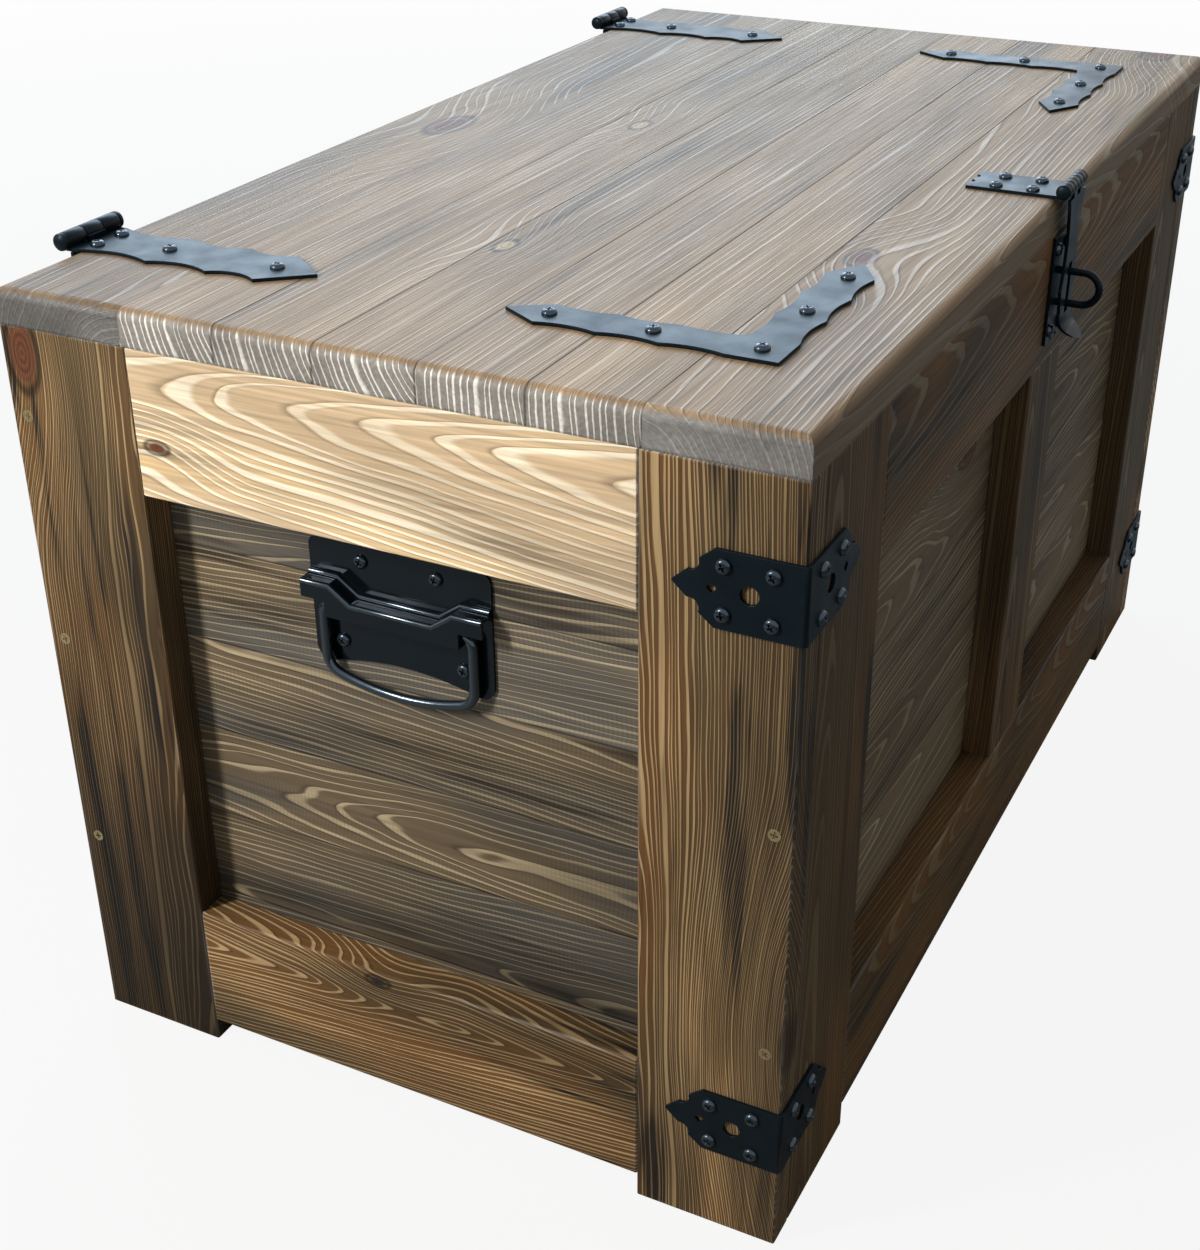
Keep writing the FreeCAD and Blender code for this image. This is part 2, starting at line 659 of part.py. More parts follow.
def hasp_strap(axis):
    """The hanging strap: a scalloped outline cut from sheet whose tip curls outwards."""
    half, start = S.hasp_half_width, S.hasp_barrel_radius + S.knuckle_gap
    drops = [share * S.hasp_drop for share in HASP_ALONG_SHARES]
    widths = [share * half for share in HASP_ACROSS_SHARES]
    right = [Vector(start, -half, 0), Vector(drops[0], -widths[0], 0)]
    left = [Vector(drops[0], widths[0], 0), Vector(start, half, 0)]
    tip = HASP_TIP_SHARE * half
    face = outline(
        right[0], *scallops(right, S.hasp_waist), Vector(drops[1], -widths[1], 0),
        (X * (S.hasp_drop + tip), Vector(drops[1], widths[1], 0)), left[0], *scallops(left, S.hasp_waist))
    hang = FreeCAD.Rotation(-Z, X, -Y)
    front = sheet_of(face, S.chest_depth)
    front.Placement = FreeCAD.Placement(axis + Y * HALF_DEPTH, hang)

    outer = axis.y - S.hasp_barrel_radius
    inner = outer + S.sheet
    bend = axis.z - S.hasp_bend_drop
    top = axis.z - start
    turn = math.radians(HASP_BEND_DEGREES)
    centre = Vector(0, outer - S.hasp_bend_radius, bend)

    def on_bend(radius, angle):
        return centre + Vector(0, radius * math.cos(angle), -radius * math.sin(angle))

    run = Vector(0, -math.sin(turn), -math.cos(turn)) * S.hasp_lip
    small, large = S.hasp_bend_radius, S.hasp_bend_radius + S.sheet
    side = outline(
        Vector(0, outer, top), Vector(0, outer, bend), (on_bend(small, turn / 2), on_bend(small, turn)),
        on_bend(small, turn) + run, on_bend(large, turn) + run, on_bend(large, turn),
        (on_bend(large, turn / 2), Vector(0, inner, bend)), Vector(0, inner, top))
    side.translate(-X * S.hasp_half_width)
    strap = Part.Face(side).extrude(X * 2 * S.hasp_half_width).common(front)
    tongues = []
    pitch = 2 * half / HASP_KNUCKLES
    for number in range(1, HASP_KNUCKLES, 2):
        corner = Vector(-half + number * pitch + S.knuckle_gap / 2, outer, top)
        tongues.append(Part.makeBox(pitch - S.knuckle_gap, S.sheet, start, corner))
    slot_low = axis.z - S.hasp_slot_drop - S.hasp_slot_height / 2
    corner = Vector(-S.hasp_slot_width / 2, outer - S.overrun / 2, slot_low)
    slot = Part.makeBox(S.hasp_slot_width, S.overrun, S.hasp_slot_height, corner)
    barrel = knuckles(S.hasp_barrel_radius, half, HASP_KNUCKLES, 1, axis)
    return strap.cut(slot).fuse(tongues + barrel).removeSplitter()


def hasp():
    """The hasp on the lid, its pin and hanging strap, and the staple plate it drops over."""
    half = S.hasp_half_width
    axis = Vector(0, -HALF_DEPTH - S.hasp_axis_out, LID_TOP + S.hasp_axis_up)
    bore = bore_for(S.hasp_pin_radius, axis)
    plate = sheet_of(notched(0, S.hasp_leaf_length + S.hasp_axis_out, half), S.sheet)
    spread = (-S.hasp_screw_spread, S.hasp_screw_spread)
    along = (S.hasp_axis_out + S.hasp_screw_near, S.hasp_axis_out + S.hasp_screw_far)
    seats = [(Vector(u, v, S.sheet), Z) for u in along for v in spread]
    lie = FreeCAD.Placement(Vector(0, axis.y, LID_TOP), FreeCAD.Rotation(Z, 90))
    leaf, seats = moved(lie, drilled(plate, seats), seats)
    wrap = S.hasp_barrel_radius + S.knuckle_gap
    leaf = leaf.cut(room_for_knuckles(
        half, HASP_KNUCKLES, 1, axis - Y * wrap - Z * S.overrun, axis + Y * wrap + Z * S.overrun))
    leaf = leaf.fuse(knuckles(S.hasp_barrel_radius, half, HASP_KNUCKLES, 0, axis)).cut(bore)
    made("hasp_leaf", leaf)
    screws.setdefault("lid_screws", []).extend(seats)
    pin("hasp_pin", "hasp_pin_radius", "hasp_barrel_radius", "hasp_half_width",
        "0", "-chest_depth / 2 - hasp_axis_out", "carcass_height + lid_thick + hasp_axis_up")
    made("hasp_strap", hasp_strap(axis).cut(bore))

    middle = axis.z - S.hasp_slot_drop
    high = S.staple_plate_height / 2
    along = (-S.staple_screw_rise, S.staple_screw_rise)
    seats = [(Vector(u, v, S.sheet), Z) for u in along for v in spread]
    stand = FreeCAD.Placement(Vector(0, -HALF_DEPTH, middle), FreeCAD.Rotation(-Z, X, -Y))
    plate, seats = moved(stand, drilled(sheet_of(notched(-high, high, half), S.sheet), seats), seats)
    made("staple_plate", plate)
    screws.setdefault("staple_screws", []).extend(seats)

    round_radius = S.staple_spacing / 2
    root = -HALF_DEPTH - S.sheet
    nose = -HALF_DEPTH - S.staple_reach + S.staple_wire / 2 + round_radius
    upper, lower = middle + round_radius, middle - round_radius
    bend = arc(Vector(0, nose, middle), round_radius, math.pi / 2, 3 * math.pi / 2)
    made("staple", wire_along([Vector(0, root, upper), *bend, Vector(0, root, lower)], S.staple_wire))


def arc(centre, radius, start, end):
    """Points along an arc in the YZ plane, from one angle to another."""
    count = math.ceil(abs(end - start) / math.radians(WIRE_STEP_DEGREES))
    turns = [start + (end - start) * i / count for i in range(count + 1)]
    return [centre + Vector(0, radius * math.cos(a), radius * math.sin(a)) for a in turns]


def wire_along(points, diameter):
    """Wire of a diameter, drawn with a few flat sides, along points in the YZ plane."""
    turns = [2 * math.pi * (i + 0.5) / WIRE_SIDES for i in range(WIRE_SIDES + 1)]
    runs = [(there - here).normalize() for here, there in zip(points, points[1:])]
    rings = []
    for point, before, after in zip(points, [runs[0], *runs], [*runs, runs[-1]]):
        inward, outward = X.cross(before), X.cross(after)
        mitre = (inward + outward) / (1 + inward.dot(outward))
        rings.append([point + (X * math.cos(a) + mitre * math.sin(a)) * diameter / 2 for a in turns])
    return flat_sided(rings)


def handle_plate(face):
    """The pressed plate of a handle, with the hood that its bail turns in, on a panel's face."""
    half, thick = S.handle_half_width, S.handle_sheet
    high, low = S.handle_rise, -S.handle_fall
    top, foot = S.handle_corner_top, S.handle_corner_low
    cut = 1 - math.sqrt(0.5)

    def spot(y, z):
        return Vector(0, y, z)

    plate = outline(
        spot(-half, high - top), (spot(-half + top * cut, high - top * cut), spot(-half + top, high)),
        spot(half - top, high), (spot(half - top * cut, high - top * cut), spot(half, high - top)),
        spot(half, low + foot),
        (spot(half - foot * cut, low + foot * cut), spot(half - foot, low)),
        (spot(0, low + S.handle_arch), spot(foot - half, low)),
        (spot(-half + foot * cut, low + foot * cut), spot(-half, low + foot)))
    shoulder, notch = S.hood_shoulder_rise, S.hood_notch_rise
    dip = S.bail_wire / 2 + S.bail_clearance + thick
    in_top, in_dip, in_notch = S.hood_shoulder_in, S.hood_dip_in, S.hood_notch_in
    hood = outline(
        spot(-half, shoulder), spot(-in_top, shoulder), spot(-in_dip, dip), spot(in_dip, dip),
        spot(in_top, shoulder), spot(half, shoulder), spot(half, notch), spot(in_notch, notch),
        spot(in_notch, -dip), spot(-in_notch, -dip), spot(-in_notch, notch), spot(-half, notch))
    slant = thick * math.tan(math.atan2(shoulder - dip, in_top - in_dip) / 2)
    far, deep = half + S.overrun, notch - S.overrun
    ceiling, low_ceiling = shoulder - thick, dip - thick
    wide, narrow = in_top + slant, in_dip + slant
    inside = outline(
        spot(-far, ceiling), spot(-wide, ceiling), spot(-narrow, low_ceiling), spot(narrow, low_ceiling),
        spot(wide, ceiling), spot(far, ceiling), spot(far, deep), spot(in_notch, deep),
        spot(in_notch, thick - dip), spot(-in_notch, thick - dip), spot(-in_notch, deep), spot(-far, deep))
    solid = Part.Face(hood).extrude(-X * S.hood_depth)
    room = Part.Face(inside).extrude(-X * (S.hood_depth - thick))
    shape = Part.Face(plate).extrude(-X * thick).fuse(solid.cut(room)).removeSplitter()
    bends = [e for e in shape.Edges if on_hood_top(e, dip - thick / 2)]
    shape = shape.makeFillet(S.hood_bend_radius, bends)
    seats = []
    for sign in (-1, 1):
        seats.append((Vector(-thick, sign * S.handle_screw_high_spread, S.handle_screw_high), -X))
        seats.append((Vector(-thick, sign * S.handle_screw_low_spread, -S.handle_screw_low), -X))
    return moved(FreeCAD.Placement(face, FreeCAD.Rotation()), drilled(shape, seats), seats)


def on_hood_top(edge, level):
    """Whether an edge of the plate is one of the bends along the top of the hood's front."""
    box = edge.BoundBox
    flat = box.XLength < S.handle_sheet / 2
    at_front = abs(box.Center.x + S.hood_depth) < S.handle_sheet / 2
    return flat and at_front and box.ZMin > level and box.YLength > S.handle_sheet


def bail_path(pivot):
    """The bail's middle line: pivot ends turned in, two legs, round corners and a bowed grip."""
    half, corner, bow, bend = S.bail_half_width, S.bail_corner, S.bail_bow, S.bail_top_bend
    bow_z = bow - S.bail_drop
    corner_z = bow_z - math.sqrt((bow - corner) ** 2 - (half - corner) ** 2)
    lean = math.atan2(half - corner, bow_z - corner_z)
    down = -math.pi / 2
    near = [
        Vector(0, S.bail_end_in, 0),
        *arc(Vector(0, half - bend, -bend), bend, -down, 0),
        *arc(Vector(0, half - corner, corner_z), corner, 0, down + lean)]
    grip = arc(Vector(0, 0, bow_z), bow, down + lean, down - lean)[1:-1]
    far = [Vector(0, -p.y, p.z) for p in reversed(near)]
    return [pivot + p for p in (*near, *grip, *far)]


def handles():
    """A handle on each end panel, under the top rail: a plate, and a bail that hangs from it."""
    pivot_z = S.carcass_height - S.rail_width - S.handle_pivot_drop
    face = Vector(S.board_thick - HALF_LENGTH, 0, pivot_z)
    left, left_seats = handle_plate(face)
    right, right_seats = mirrored(left, left_seats)
    made("left_handle_plate", left)
    made("right_handle_plate", right)
    screws.setdefault("handle_screws", []).extend(left_seats + right_seats)
    bail = wire_along(bail_path(face - X * S.hood_depth / 2), S.bail_wire)
    made("left_bail", bail)
    made("right_bail", bail.mirror(ORIGIN, X))


def frame_screws():
    """Countersunk screws through the end stiles into the edges of the front and back frames."""
    seats = []
    for side in (-1, 1):
        for end in (-1, 1):
            for number in range(FRAME_SCREWS_PER_STILE):
                level = S.frame_screw_low + number * S.frame_screw_pitch
                under_bracket = level > S.carcass_height - S.bracket_upper_drop - S.bracket_height / 2
                if end < 0 and under_bracket:
                    continue
                spot = Vector(side * HALF_LENGTH, end * (HALF_DEPTH - S.board_thick / 2), level)
                seats.append((spot, X * side))
    shank = S.screw_shank_radius
    head = prism(shank, S.frame_screw_radius, -S.screw_head_height, 0, SCREW_SIDES)
    body = prism(shank, shank, -S.frame_screw_length, -S.screw_head_height, SCREW_SIDES)
    one = head.fuse(body).removeSplitter()
    made("frame_screws", Part.makeCompound([at_seat(one, seat) for seat in seats]))


def sheet_screws():
    """Pan-head screws, one group for each kind of fitting."""
    head = prism(S.screw_head_radius, S.screw_top_radius, 0, S.screw_head_height, SCREW_SIDES)
    shank = prism(S.screw_shank_radius, S.screw_shank_radius, -S.screw_length, 0, SCREW_SIDES)
    one = head.fuse(shank).removeSplitter()
    for label, seats in screws.items():
        made(label, Part.makeCompound([at_seat(one, seat) for seat in seats]))


def build():
    """Every sub-part, checked before anything is written."""
    frames()
    walls_and_floor()
    lid_boards()
    hinges()
    corner_straps()
    brackets()
    hasp()
    handles()
    frame_screws()
    sheet_screws()
    doc.recompute()
    bad = [thing.Label for thing in doc.Objects if {"Invalid", "Error"} & set(thing.State)]
    bad += [node.Label for node in nodes if node.Shape.isNull() or not node.Shape.isValid()]
    if bad:
        raise RuntimeError("failed: " + ", ".join(bad))
    os.makedirs("parts", exist_ok=True)
    for node in nodes:
        node.Shape.exportStep(f"parts/{node.Label}.step")
    print(len(nodes), "sub-parts")


build()
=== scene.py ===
"""Looks of a framed pine storage chest with a flat lid and black steel fittings.

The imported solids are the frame. Boards and sheet keep their solids, with materials and eased edges;
screws, wire, knuckles and pins are drawn round in the place of theirs; the stage holds the camera,
the lamps and the floor. Lengths are in metres, and MM makes them from millimetres.
"""

import functools
import itertools
import math

import bmesh
import bpy
from mathutils import Matrix, Vector


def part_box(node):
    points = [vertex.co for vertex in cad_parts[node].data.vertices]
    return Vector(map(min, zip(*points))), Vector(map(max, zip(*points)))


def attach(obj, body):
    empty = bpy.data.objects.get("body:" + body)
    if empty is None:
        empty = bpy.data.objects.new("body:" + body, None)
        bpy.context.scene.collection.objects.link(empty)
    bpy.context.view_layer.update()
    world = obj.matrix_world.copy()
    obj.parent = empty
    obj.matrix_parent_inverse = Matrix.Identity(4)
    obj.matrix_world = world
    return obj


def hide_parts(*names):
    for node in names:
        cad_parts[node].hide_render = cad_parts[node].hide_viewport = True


bl_info = {
    "name": "Framed pine chest",
    "version": (1, 0, 0),
    "blender": (4, 5, 0),
    "location": "View3D > Sidebar > Chest",
    "description": "Dresses a packed chest in brushed pine and black steel",
    "category": "Object",
}

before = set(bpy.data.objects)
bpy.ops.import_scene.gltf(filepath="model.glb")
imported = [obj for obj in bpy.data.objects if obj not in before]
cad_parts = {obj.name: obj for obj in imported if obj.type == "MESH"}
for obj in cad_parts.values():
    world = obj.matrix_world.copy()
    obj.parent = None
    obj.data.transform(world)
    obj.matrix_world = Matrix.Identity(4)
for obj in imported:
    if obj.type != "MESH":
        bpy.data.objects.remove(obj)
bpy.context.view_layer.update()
MM = 0.001
FULL_TURN = 2 * math.pi
X, Y, Z = Vector((1, 0, 0)), Vector((0, 1, 0)), Vector((0, 0, 1))
SIDES = ("left", "right")

# Places on the chest: its end faces, the panels' top seam, the lid's top and its first seam
END_FACE, CARCASS_TOP, LID_TOP, LID_SEAM = 0.4, 0.45, 0.47, -0.145
STAVE = 0.058  # Width of a stave
ROUND_SIDES, WIRE_SIDES = 32, 20  # Sides of turned forms and of wire
CORNER = 40  # Degrees from which an edge counts as a corner

# Kinds of node, and the settings and sockets of smooth ranges and colour mixes
MATH, VECTORS, RANGE = "ShaderNodeMath", "ShaderNodeVectorMath", "ShaderNodeMapRange"
MIX, NOISE, PLACE = "ShaderNodeMix", "ShaderNodeTexNoise", "ShaderNodeTexCoord"
SPLIT, JOIN, BUMP = "ShaderNodeSeparateXYZ", "ShaderNodeCombineXYZ", "ShaderNodeBump"
SMOOTH = {"interpolation_type": "SMOOTHSTEP"}
COLOURS = {"data_type": "RGBA", "out": 2}
SHARE, FROM, TO = 0, 6, 7


def linear(code):
    """The linear colour of an sRGB hex value."""
    parts = [int(code[i:i + 2], 16) / 255 for i in (1, 3, 5)]
    return tuple(c / 12.92 if c <= 0.04045 else ((c + 0.055) / 1.055) ** 2.4 for c in parts)


def colour(name, code, description):
    """A colour property whose default is an sRGB hex value."""
    return bpy.props.FloatVectorProperty(
        name=name, description=description, default=linear(code), size=3, subtype="COLOR",
        min=0, max=1)


def number(name, default, description, **kind):
    """A number property, with its unit or kind if it has one."""
    return bpy.props.FloatProperty(name=name, description=description, default=default, **kind)


def length(name, millimetres, description):
    """A length property whose default is in millimetres."""
    return number(name, millimetres * MM, description, unit="LENGTH", precision=5)


def angle(name, degrees, description):
    """An angle property whose default is in degrees."""
    return number(name, math.radians(degrees), description, subtype="ANGLE")


class PineSettings(bpy.types.PropertyGroup):
    """Stained and brushed pine."""
    frame_early: colour("Frame, soft wood", "#55452F", "Soft wood of dark stiles and rails")
    frame_warm: colour("Frame, warm wood", "#785632", "Soft wood there with less stain")
    frame_late: colour("Frame, hard wood", "#C6AA7E", "Hard ring lines of stiles and rails")
    frame_dull: colour("Frame, dull hard wood", "#96805D", "Hard ring lines under more stain")
    # The palest rails: their own paler wood, made paler still as painted light where light falls
    # brightest
    pale_lit_early: colour("Pale rail, soft wood", "#BFA98A", "Soft wood of the palest rails")
    pale_lit_warm: colour("Pale rail, warm wood", "#E2C595", "Soft wood there with less stain")
    pale_lit_late: colour("Pale rail, hard wood", "#FFFAE6", "Hard ring lines of the palest rails")
    panel_early: colour("Panel, soft wood", "#67645E", "Soft wood of the panels behind the frames")
    panel_warm: colour("Panel, warm wood", "#82725B", "Soft wood there with less stain")
    panel_late: colour("Panel, hard wood", "#D0BF9C", "Hard ring lines of the panels")
    # The lid's colours are far paler than the frame's: partly its own greyed wood, partly painted
    # light for the light and sheen that fall on it from above
    lid_lit_early: colour("Lid, soft wood", "#9C8262", "Soft wood of the lid, greyed by wax")
    lid_lit_warm: colour("Lid, warm wood", "#A98C68", "Soft wood there with less stain")
    lid_lit_late: colour("Lid, hard wood", "#B59B77", "Hard ring lines of the lid")
    end_early: colour("End grain, soft wood", "#8E8B85", "Soft wood on sawn ends")
    end_late: colour("End grain, hard wood", "#F0EEE8", "Hard ring lines on sawn ends")
    plain_early: colour("Plain end, soft wood", "#7C7B79", "Soft wood on the smoother sawn ends")
    plain_late: colour("Plain end, hard wood", "#929290", "Hard ring lines on those ends")
    stain: colour("Stain", "#28221C", "Where the soft wood drank most stain")
    knot: colour("Knot", "#68402C", "Heart of a knot")
    pale_knot: colour("Pale knot", "#C4AC80", "Heart of a knot in the lid's staves")
    rim: colour("Knot rim", "#1A100A", "Dark rim of a knot, and glue lines between staves")
    ring: length("Ring width", 3.6, "Middle distance between growth rings")
    fibre: length("Brush line", 2.0, "Width of the lines that the wire brush leaves")
    teeth: length("Saw marks", 2.6, "Distance between saw marks, drawn coarse enough to show")
    edge: length("Edge", 0.8, "Rounding of the boards' edges")
    relief: length("Relief", 0.45, "Height of the hard wood above the brushed soft wood")


class SteelSettings(bpy.types.PropertyGroup):
    """Coated and plated steel."""
    # The coats' blue cast is partly painted reflection: some of the cool sky's reflection is put into
    # their colour
    coat: colour("Powder coat", "#0A1319", "Satin black coat of straps, brackets and hasp")
    gloss: colour("Gloss coat", "#060B10", "Black coat of the handles")
    sheen: colour("Sheen", "#CFE8FF", "Cool tint of the coats' reflections")
    zinc: colour("Zinc", "#C8B98C", "Yellowed zinc of the frame screws")
    peel: length("Coat ripple", 1.4, "Ripple of the coat, drawn coarse enough to show")
    edge: length("Edge", 0.35, "Rounding of sheet edges under the coat")
    recess: length("Cross arm", 2.1, "Reach of a screw's cross recess from its middle")


class StageSettings(bpy.types.PropertyGroup):
    """Camera, lamps and floor."""
    eye: bpy.props.FloatVectorProperty(
        name="Eye", description="Camera's place", default=(-1.0832, -0.4752, 0.7818), subtype="XYZ")
    yaw: angle("Yaw", 27.23, "Heading from +X")
    pitch: angle("Pitch", 28.975, "Tilt down")
    roll: angle("Roll", -0.545, "Lean of the picture")
    lens: number("Lens", 54.11, "Focal length in mm")
    floor: colour("Floor", "#B0B0AD", "Pale floor")
    bulb: colour("Lamp light", "#FFF8F0", "Warm light that falls on the left end")
    sky: colour("Window light", "#C8E4FC", "Cool light that falls on the lid from behind")
    key: number("Key", 23, "Watts of the lamp on the end")
    window: number("Window", 65, "Watts of the light behind")
    fill: number("Fill", 0.15, "Strength of the even light")


# Node trees

def feed(node, inputs):
    """Sets or links a node's inputs, given by place or by name."""
    for key, value in inputs.items() if isinstance(inputs, dict) else enumerate(inputs):
        if isinstance(value, bpy.types.NodeSocket):
            node.id_data.links.new(value, node.inputs[key])
        else:
            node.inputs[key].default_value = value


def add(tree, kind, inputs=(), operation=None, out=0, **settings):
    """Adds a node with its operation and other settings, feeds its inputs, and gives one output."""
    node = tree.nodes.new(kind)
    if operation:
        node.operation = operation
    for name, value in settings.items():
        setattr(node, name, value)
    feed(node, inputs)
    return node.outputs[out] if node.outputs else None


def new_group(name, kind, inputs, outputs):
    """Makes a node group, its sockets named by kind; gives what adds to it, and its inputs."""
    tree = bpy.data.node_groups.new(name, kind)
    for way, kinds in (("INPUT", inputs), ("OUTPUT", outputs)):
        for socket, names in kinds.items():
            for one in names.split(", "):
                tree.interface.new_socket(one, in_out=way, socket_type="NodeSocket" + socket)
    put = functools.partial(add, tree)
    return put, put("NodeGroupInput").node.outputs


def new_material(name):
    """Makes a material; gives it, what adds to it, and its shader."""
    material = bpy.data.materials.new(name)
    material.use_nodes = True
    tree = material.node_tree
    return material, functools.partial(add, tree), tree.nodes["Principled BSDF"]


def brushed_pine_group():
    """Wire-brushed, stained pine as one node group.

    Growth rings are cylinders about a pith line near each board, so faces show arches or straight
    lines and sawn ends show arcs. Brushing leaves the hard lines proud and pale, the soft wood low
    and dark. Each range below reads: a value, from where to where it runs, and what it gives there.
    """
    pine = bpy.context.scene.chest_pine
    put, given = new_group(
        "brushed_pine", "ShaderNodeTree",
        {"Color": "Early, Warm, Late, End early, End late, Knot colour",
         "Vector": "Turn, Centre, Pith, Spread, Grain, Knot a, Knot b, Low, High, Joined",
         "Float": "Ring, Line, Slope, Wander, Stave, Seed, Tone, Stain, Saw, Side, Size a, Size b, "
                  "Round, Foot"},
        {"Color": "Colour", "Float": "Roughness, Height"})

    # The board's own frame: along the grain, across its width, through its thickness
    place = put(PLACE, out="Object")
    board = put("ShaderNodeMapping", {
        "Vector": place, "Location": given["Centre"], "Rotation": given["Turn"]})
    across = put(SPLIT, (board,), out="Y")
    stave = put(MATH, (across, given["Stave"]), "DIVIDE")
    stave = put(MATH, (stave,), "FLOOR")
    middle = put(MATH, (stave, 0.5), "ADD")
    middle = put(MATH, (middle, given["Stave"]), "MULTIPLY")
    in_stave = put(MATH, (across, middle), "SUBTRACT")
    key = put(JOIN, (stave, given["Seed"]))
    chance = put("ShaderNodeTexWhiteNoise", {"Vector": key}, out="Color", noise_dimensions="2D")
    shift = put(VECTORS, (chance, (0.5, 0.5, 0.5)), "SUBTRACT")
    shift = put(VECTORS, (shift, given["Spread"], given["Pith"]), "MULTIPLY_ADD")
    to_stave = put(MATH, (middle, -1), "MULTIPLY")
    to_stave = put(JOIN, {"Y": to_stave})
    wood = put(VECTORS, (board, to_stave), "ADD")
    wood = put(VECTORS, (wood, shift), "ADD")
    along = put(SPLIT, (wood,), out="X")

    # Slow and fast changes in the wood, each as long and as wide in millimetres as it shows
    cloud = {}
    for name, long, wide, detail in (
            ("wander", 220, 42, 2.5), ("bands", 420, 60, 2), ("warmth", 260, 70, 2),
            ("patch", 110, 26, 3), ("drunk", 190, 11, 3), ("brush", 80, pine.fibre / MM, 3)):
        size = tuple(1 / (span * MM) for span in (long, wide, wide))
        spread = put(VECTORS, (wood, size), "MULTIPLY")
        cloud[name] = put(NOISE, {"Vector": spread, "Scale": 1, "Detail": detail})

    # What the clouds give: from where to where each runs, what it gives there, and how it changes
    part = {}
    for name, source, *span, how in (
            ("line width", "patch", 0.3, 0.7, 0.55, 1.45, {}),
            ("line strength", "warmth", 0.36, 0.64, 0.32, 1.0, {}),
            ("warm wood", "warmth", 0.42, 0.62, 0, 1, SMOOTH),
            ("stain", "drunk", 0.5, 0.66, 0, 1, SMOOTH),
            ("more stain", "bands", 0.46, 0.62, 0.25, 1.5, SMOOTH),
            ("brush light", "brush", 0.25, 0.75, 0.74, 1.22, {}),
            ("band light", "bands", 0.3, 0.7, 1.3, 0.66, {}),
            ("saw marks", "patch", 0.4, 0.6, 0, 1, SMOOTH),
            ("wear", "patch", 0.4, 0.65, 0, 1, {}),
            ("roughness", "brush", 0.2, 0.8, 0.66, 0.52, {})):
        part[name] = put(RANGE, (cloud[source], *span), **how)

    # Rings round the pith line, which leans by the slope and wanders
    radius = put(VECTORS, (wood, (0, 1, 1)), "MULTIPLY")
    radius = put(VECTORS, (radius,), "LENGTH", out="Value")
    leaning = put(MATH, (along, given["Slope"], radius), "MULTIPLY_ADD")
    rings = put(MATH, (leaning, given["Ring"]), "DIVIDE")
    wander = put(MATH, (cloud["wander"], 0.5), "SUBTRACT")
    rings = put(MATH, (wander, given["Wander"], rings), "MULTIPLY_ADD")

    # Knots, long along the grain: where the rings swell round them, their hearts and their rims
    stretch, ragged, knot_ring = (0.5, 1, 0.3), 4 * MM, 2.4 * MM
    # As shares of a knot's size
    heart_part, rim_part, rim_width, swell_reach, swell_height = 0.55, 0.95, 0.24, 5.5, 2
    knots = []
    for letter in "ab":
        size = given[f"Size {letter}"]
        apart = put(VECTORS, (place, given[f"Knot {letter}"]), "SUBTRACT")
        turned = put("ShaderNodeVectorRotate", {
            "Vector": apart, "Rotation": given["Turn"]}, rotation_type="EULER_XYZ")
        far = put(VECTORS, (turned, stretch), "MULTIPLY")
        far = put(VECTORS, (far,), "LENGTH", out="Value")
        far = put(MATH, (cloud["patch"], ragged, far), "MULTIPLY_ADD")
        reach = put(MATH, (size, swell_reach, 0.1 * MM), "MULTIPLY_ADD")
        bulge = put(MATH, (size, swell_height), "MULTIPLY")
        bulge = put(MATH, (bulge, given["Ring"]), "DIVIDE")
        swell = put(RANGE, (far, 0, reach, bulge, 0), **SMOOTH)
        rings = put(MATH, (rings, swell), "ADD")
        half = put(MATH, (size, heart_part), "MULTIPLY")
        heart = put(RANGE, (far, half, size, 1, 0), **SMOOTH)
        rim = put(MATH, (size, -rim_part, far), "MULTIPLY_ADD")
        rim = put(MATH, (rim,), "ABSOLUTE")
        wide = put(MATH, (size, rim_width), "MULTIPLY")
        rim = put(RANGE, (rim, 0, wide, 0.75, 0), **SMOOTH)
        knots.append((far, heart, rim))
    uneven = put(NOISE, {"W": rings, "Scale": 0.4, "Detail": 1}, noise_dimensions="1D")
    rings = put(MATH, (uneven, 1.6, rings), "MULTIPLY_ADD")
    year = put(MATH, (rings,), "FRACT")

    # A hard line fades in and stops sharply at the end of each year; its width and strength vary
    line_end, fade_in, last_days = 0.97, 0.45, 0.94
    width = put(MATH, (part["line width"], given["Line"]), "MULTIPLY")
    start = put(MATH, (line_end, width), "SUBTRACT")
    full = put(MATH, (width, fade_in, start), "MULTIPLY_ADD")
    rise = put(RANGE, (year, start, full, 0, 1), **SMOOTH)
    fall = put(RANGE, (year, last_days, 1.0, 1, 0), **SMOOTH)
    late = put(MATH, (rise, fall), "MINIMUM")
    strength = put(MATH, (late, part["line strength"]), "MULTIPLY")

    # Soft wood: warm in places, charcoal where it drank the stain or lies right after a hard line
    early_days, groove_stain, hard_stain = 0.14, 0.4, 0.6
    warm = {SHARE: part["warm wood"], FROM: given["Early"], TO: given["Warm"]}
    soft = put(MIX, warm, **COLOURS)
    drunk = put(MATH, (part["stain"], part["more stain"]), "MULTIPLY")
    drunk = put(MATH, (drunk, given["Stain"]), "MULTIPLY", use_clamp=True)
    groove = put(RANGE, (year, 0.0, early_days, groove_stain, 0), **SMOOTH)
    stained = put(MATH, (drunk, groove), "MAXIMUM")
    soft = put(MIX, {SHARE: stained, FROM: soft, TO: (*pine.stain, 1)}, **COLOURS)
    hard = put(MATH, (drunk, hard_stain), "MULTIPLY")
    hard = put(MIX, {SHARE: hard, FROM: given["Late"], TO: given["Early"]}, **COLOURS)
    face = put(MIX, {SHARE: strength, FROM: soft, TO: hard}, **COLOURS)
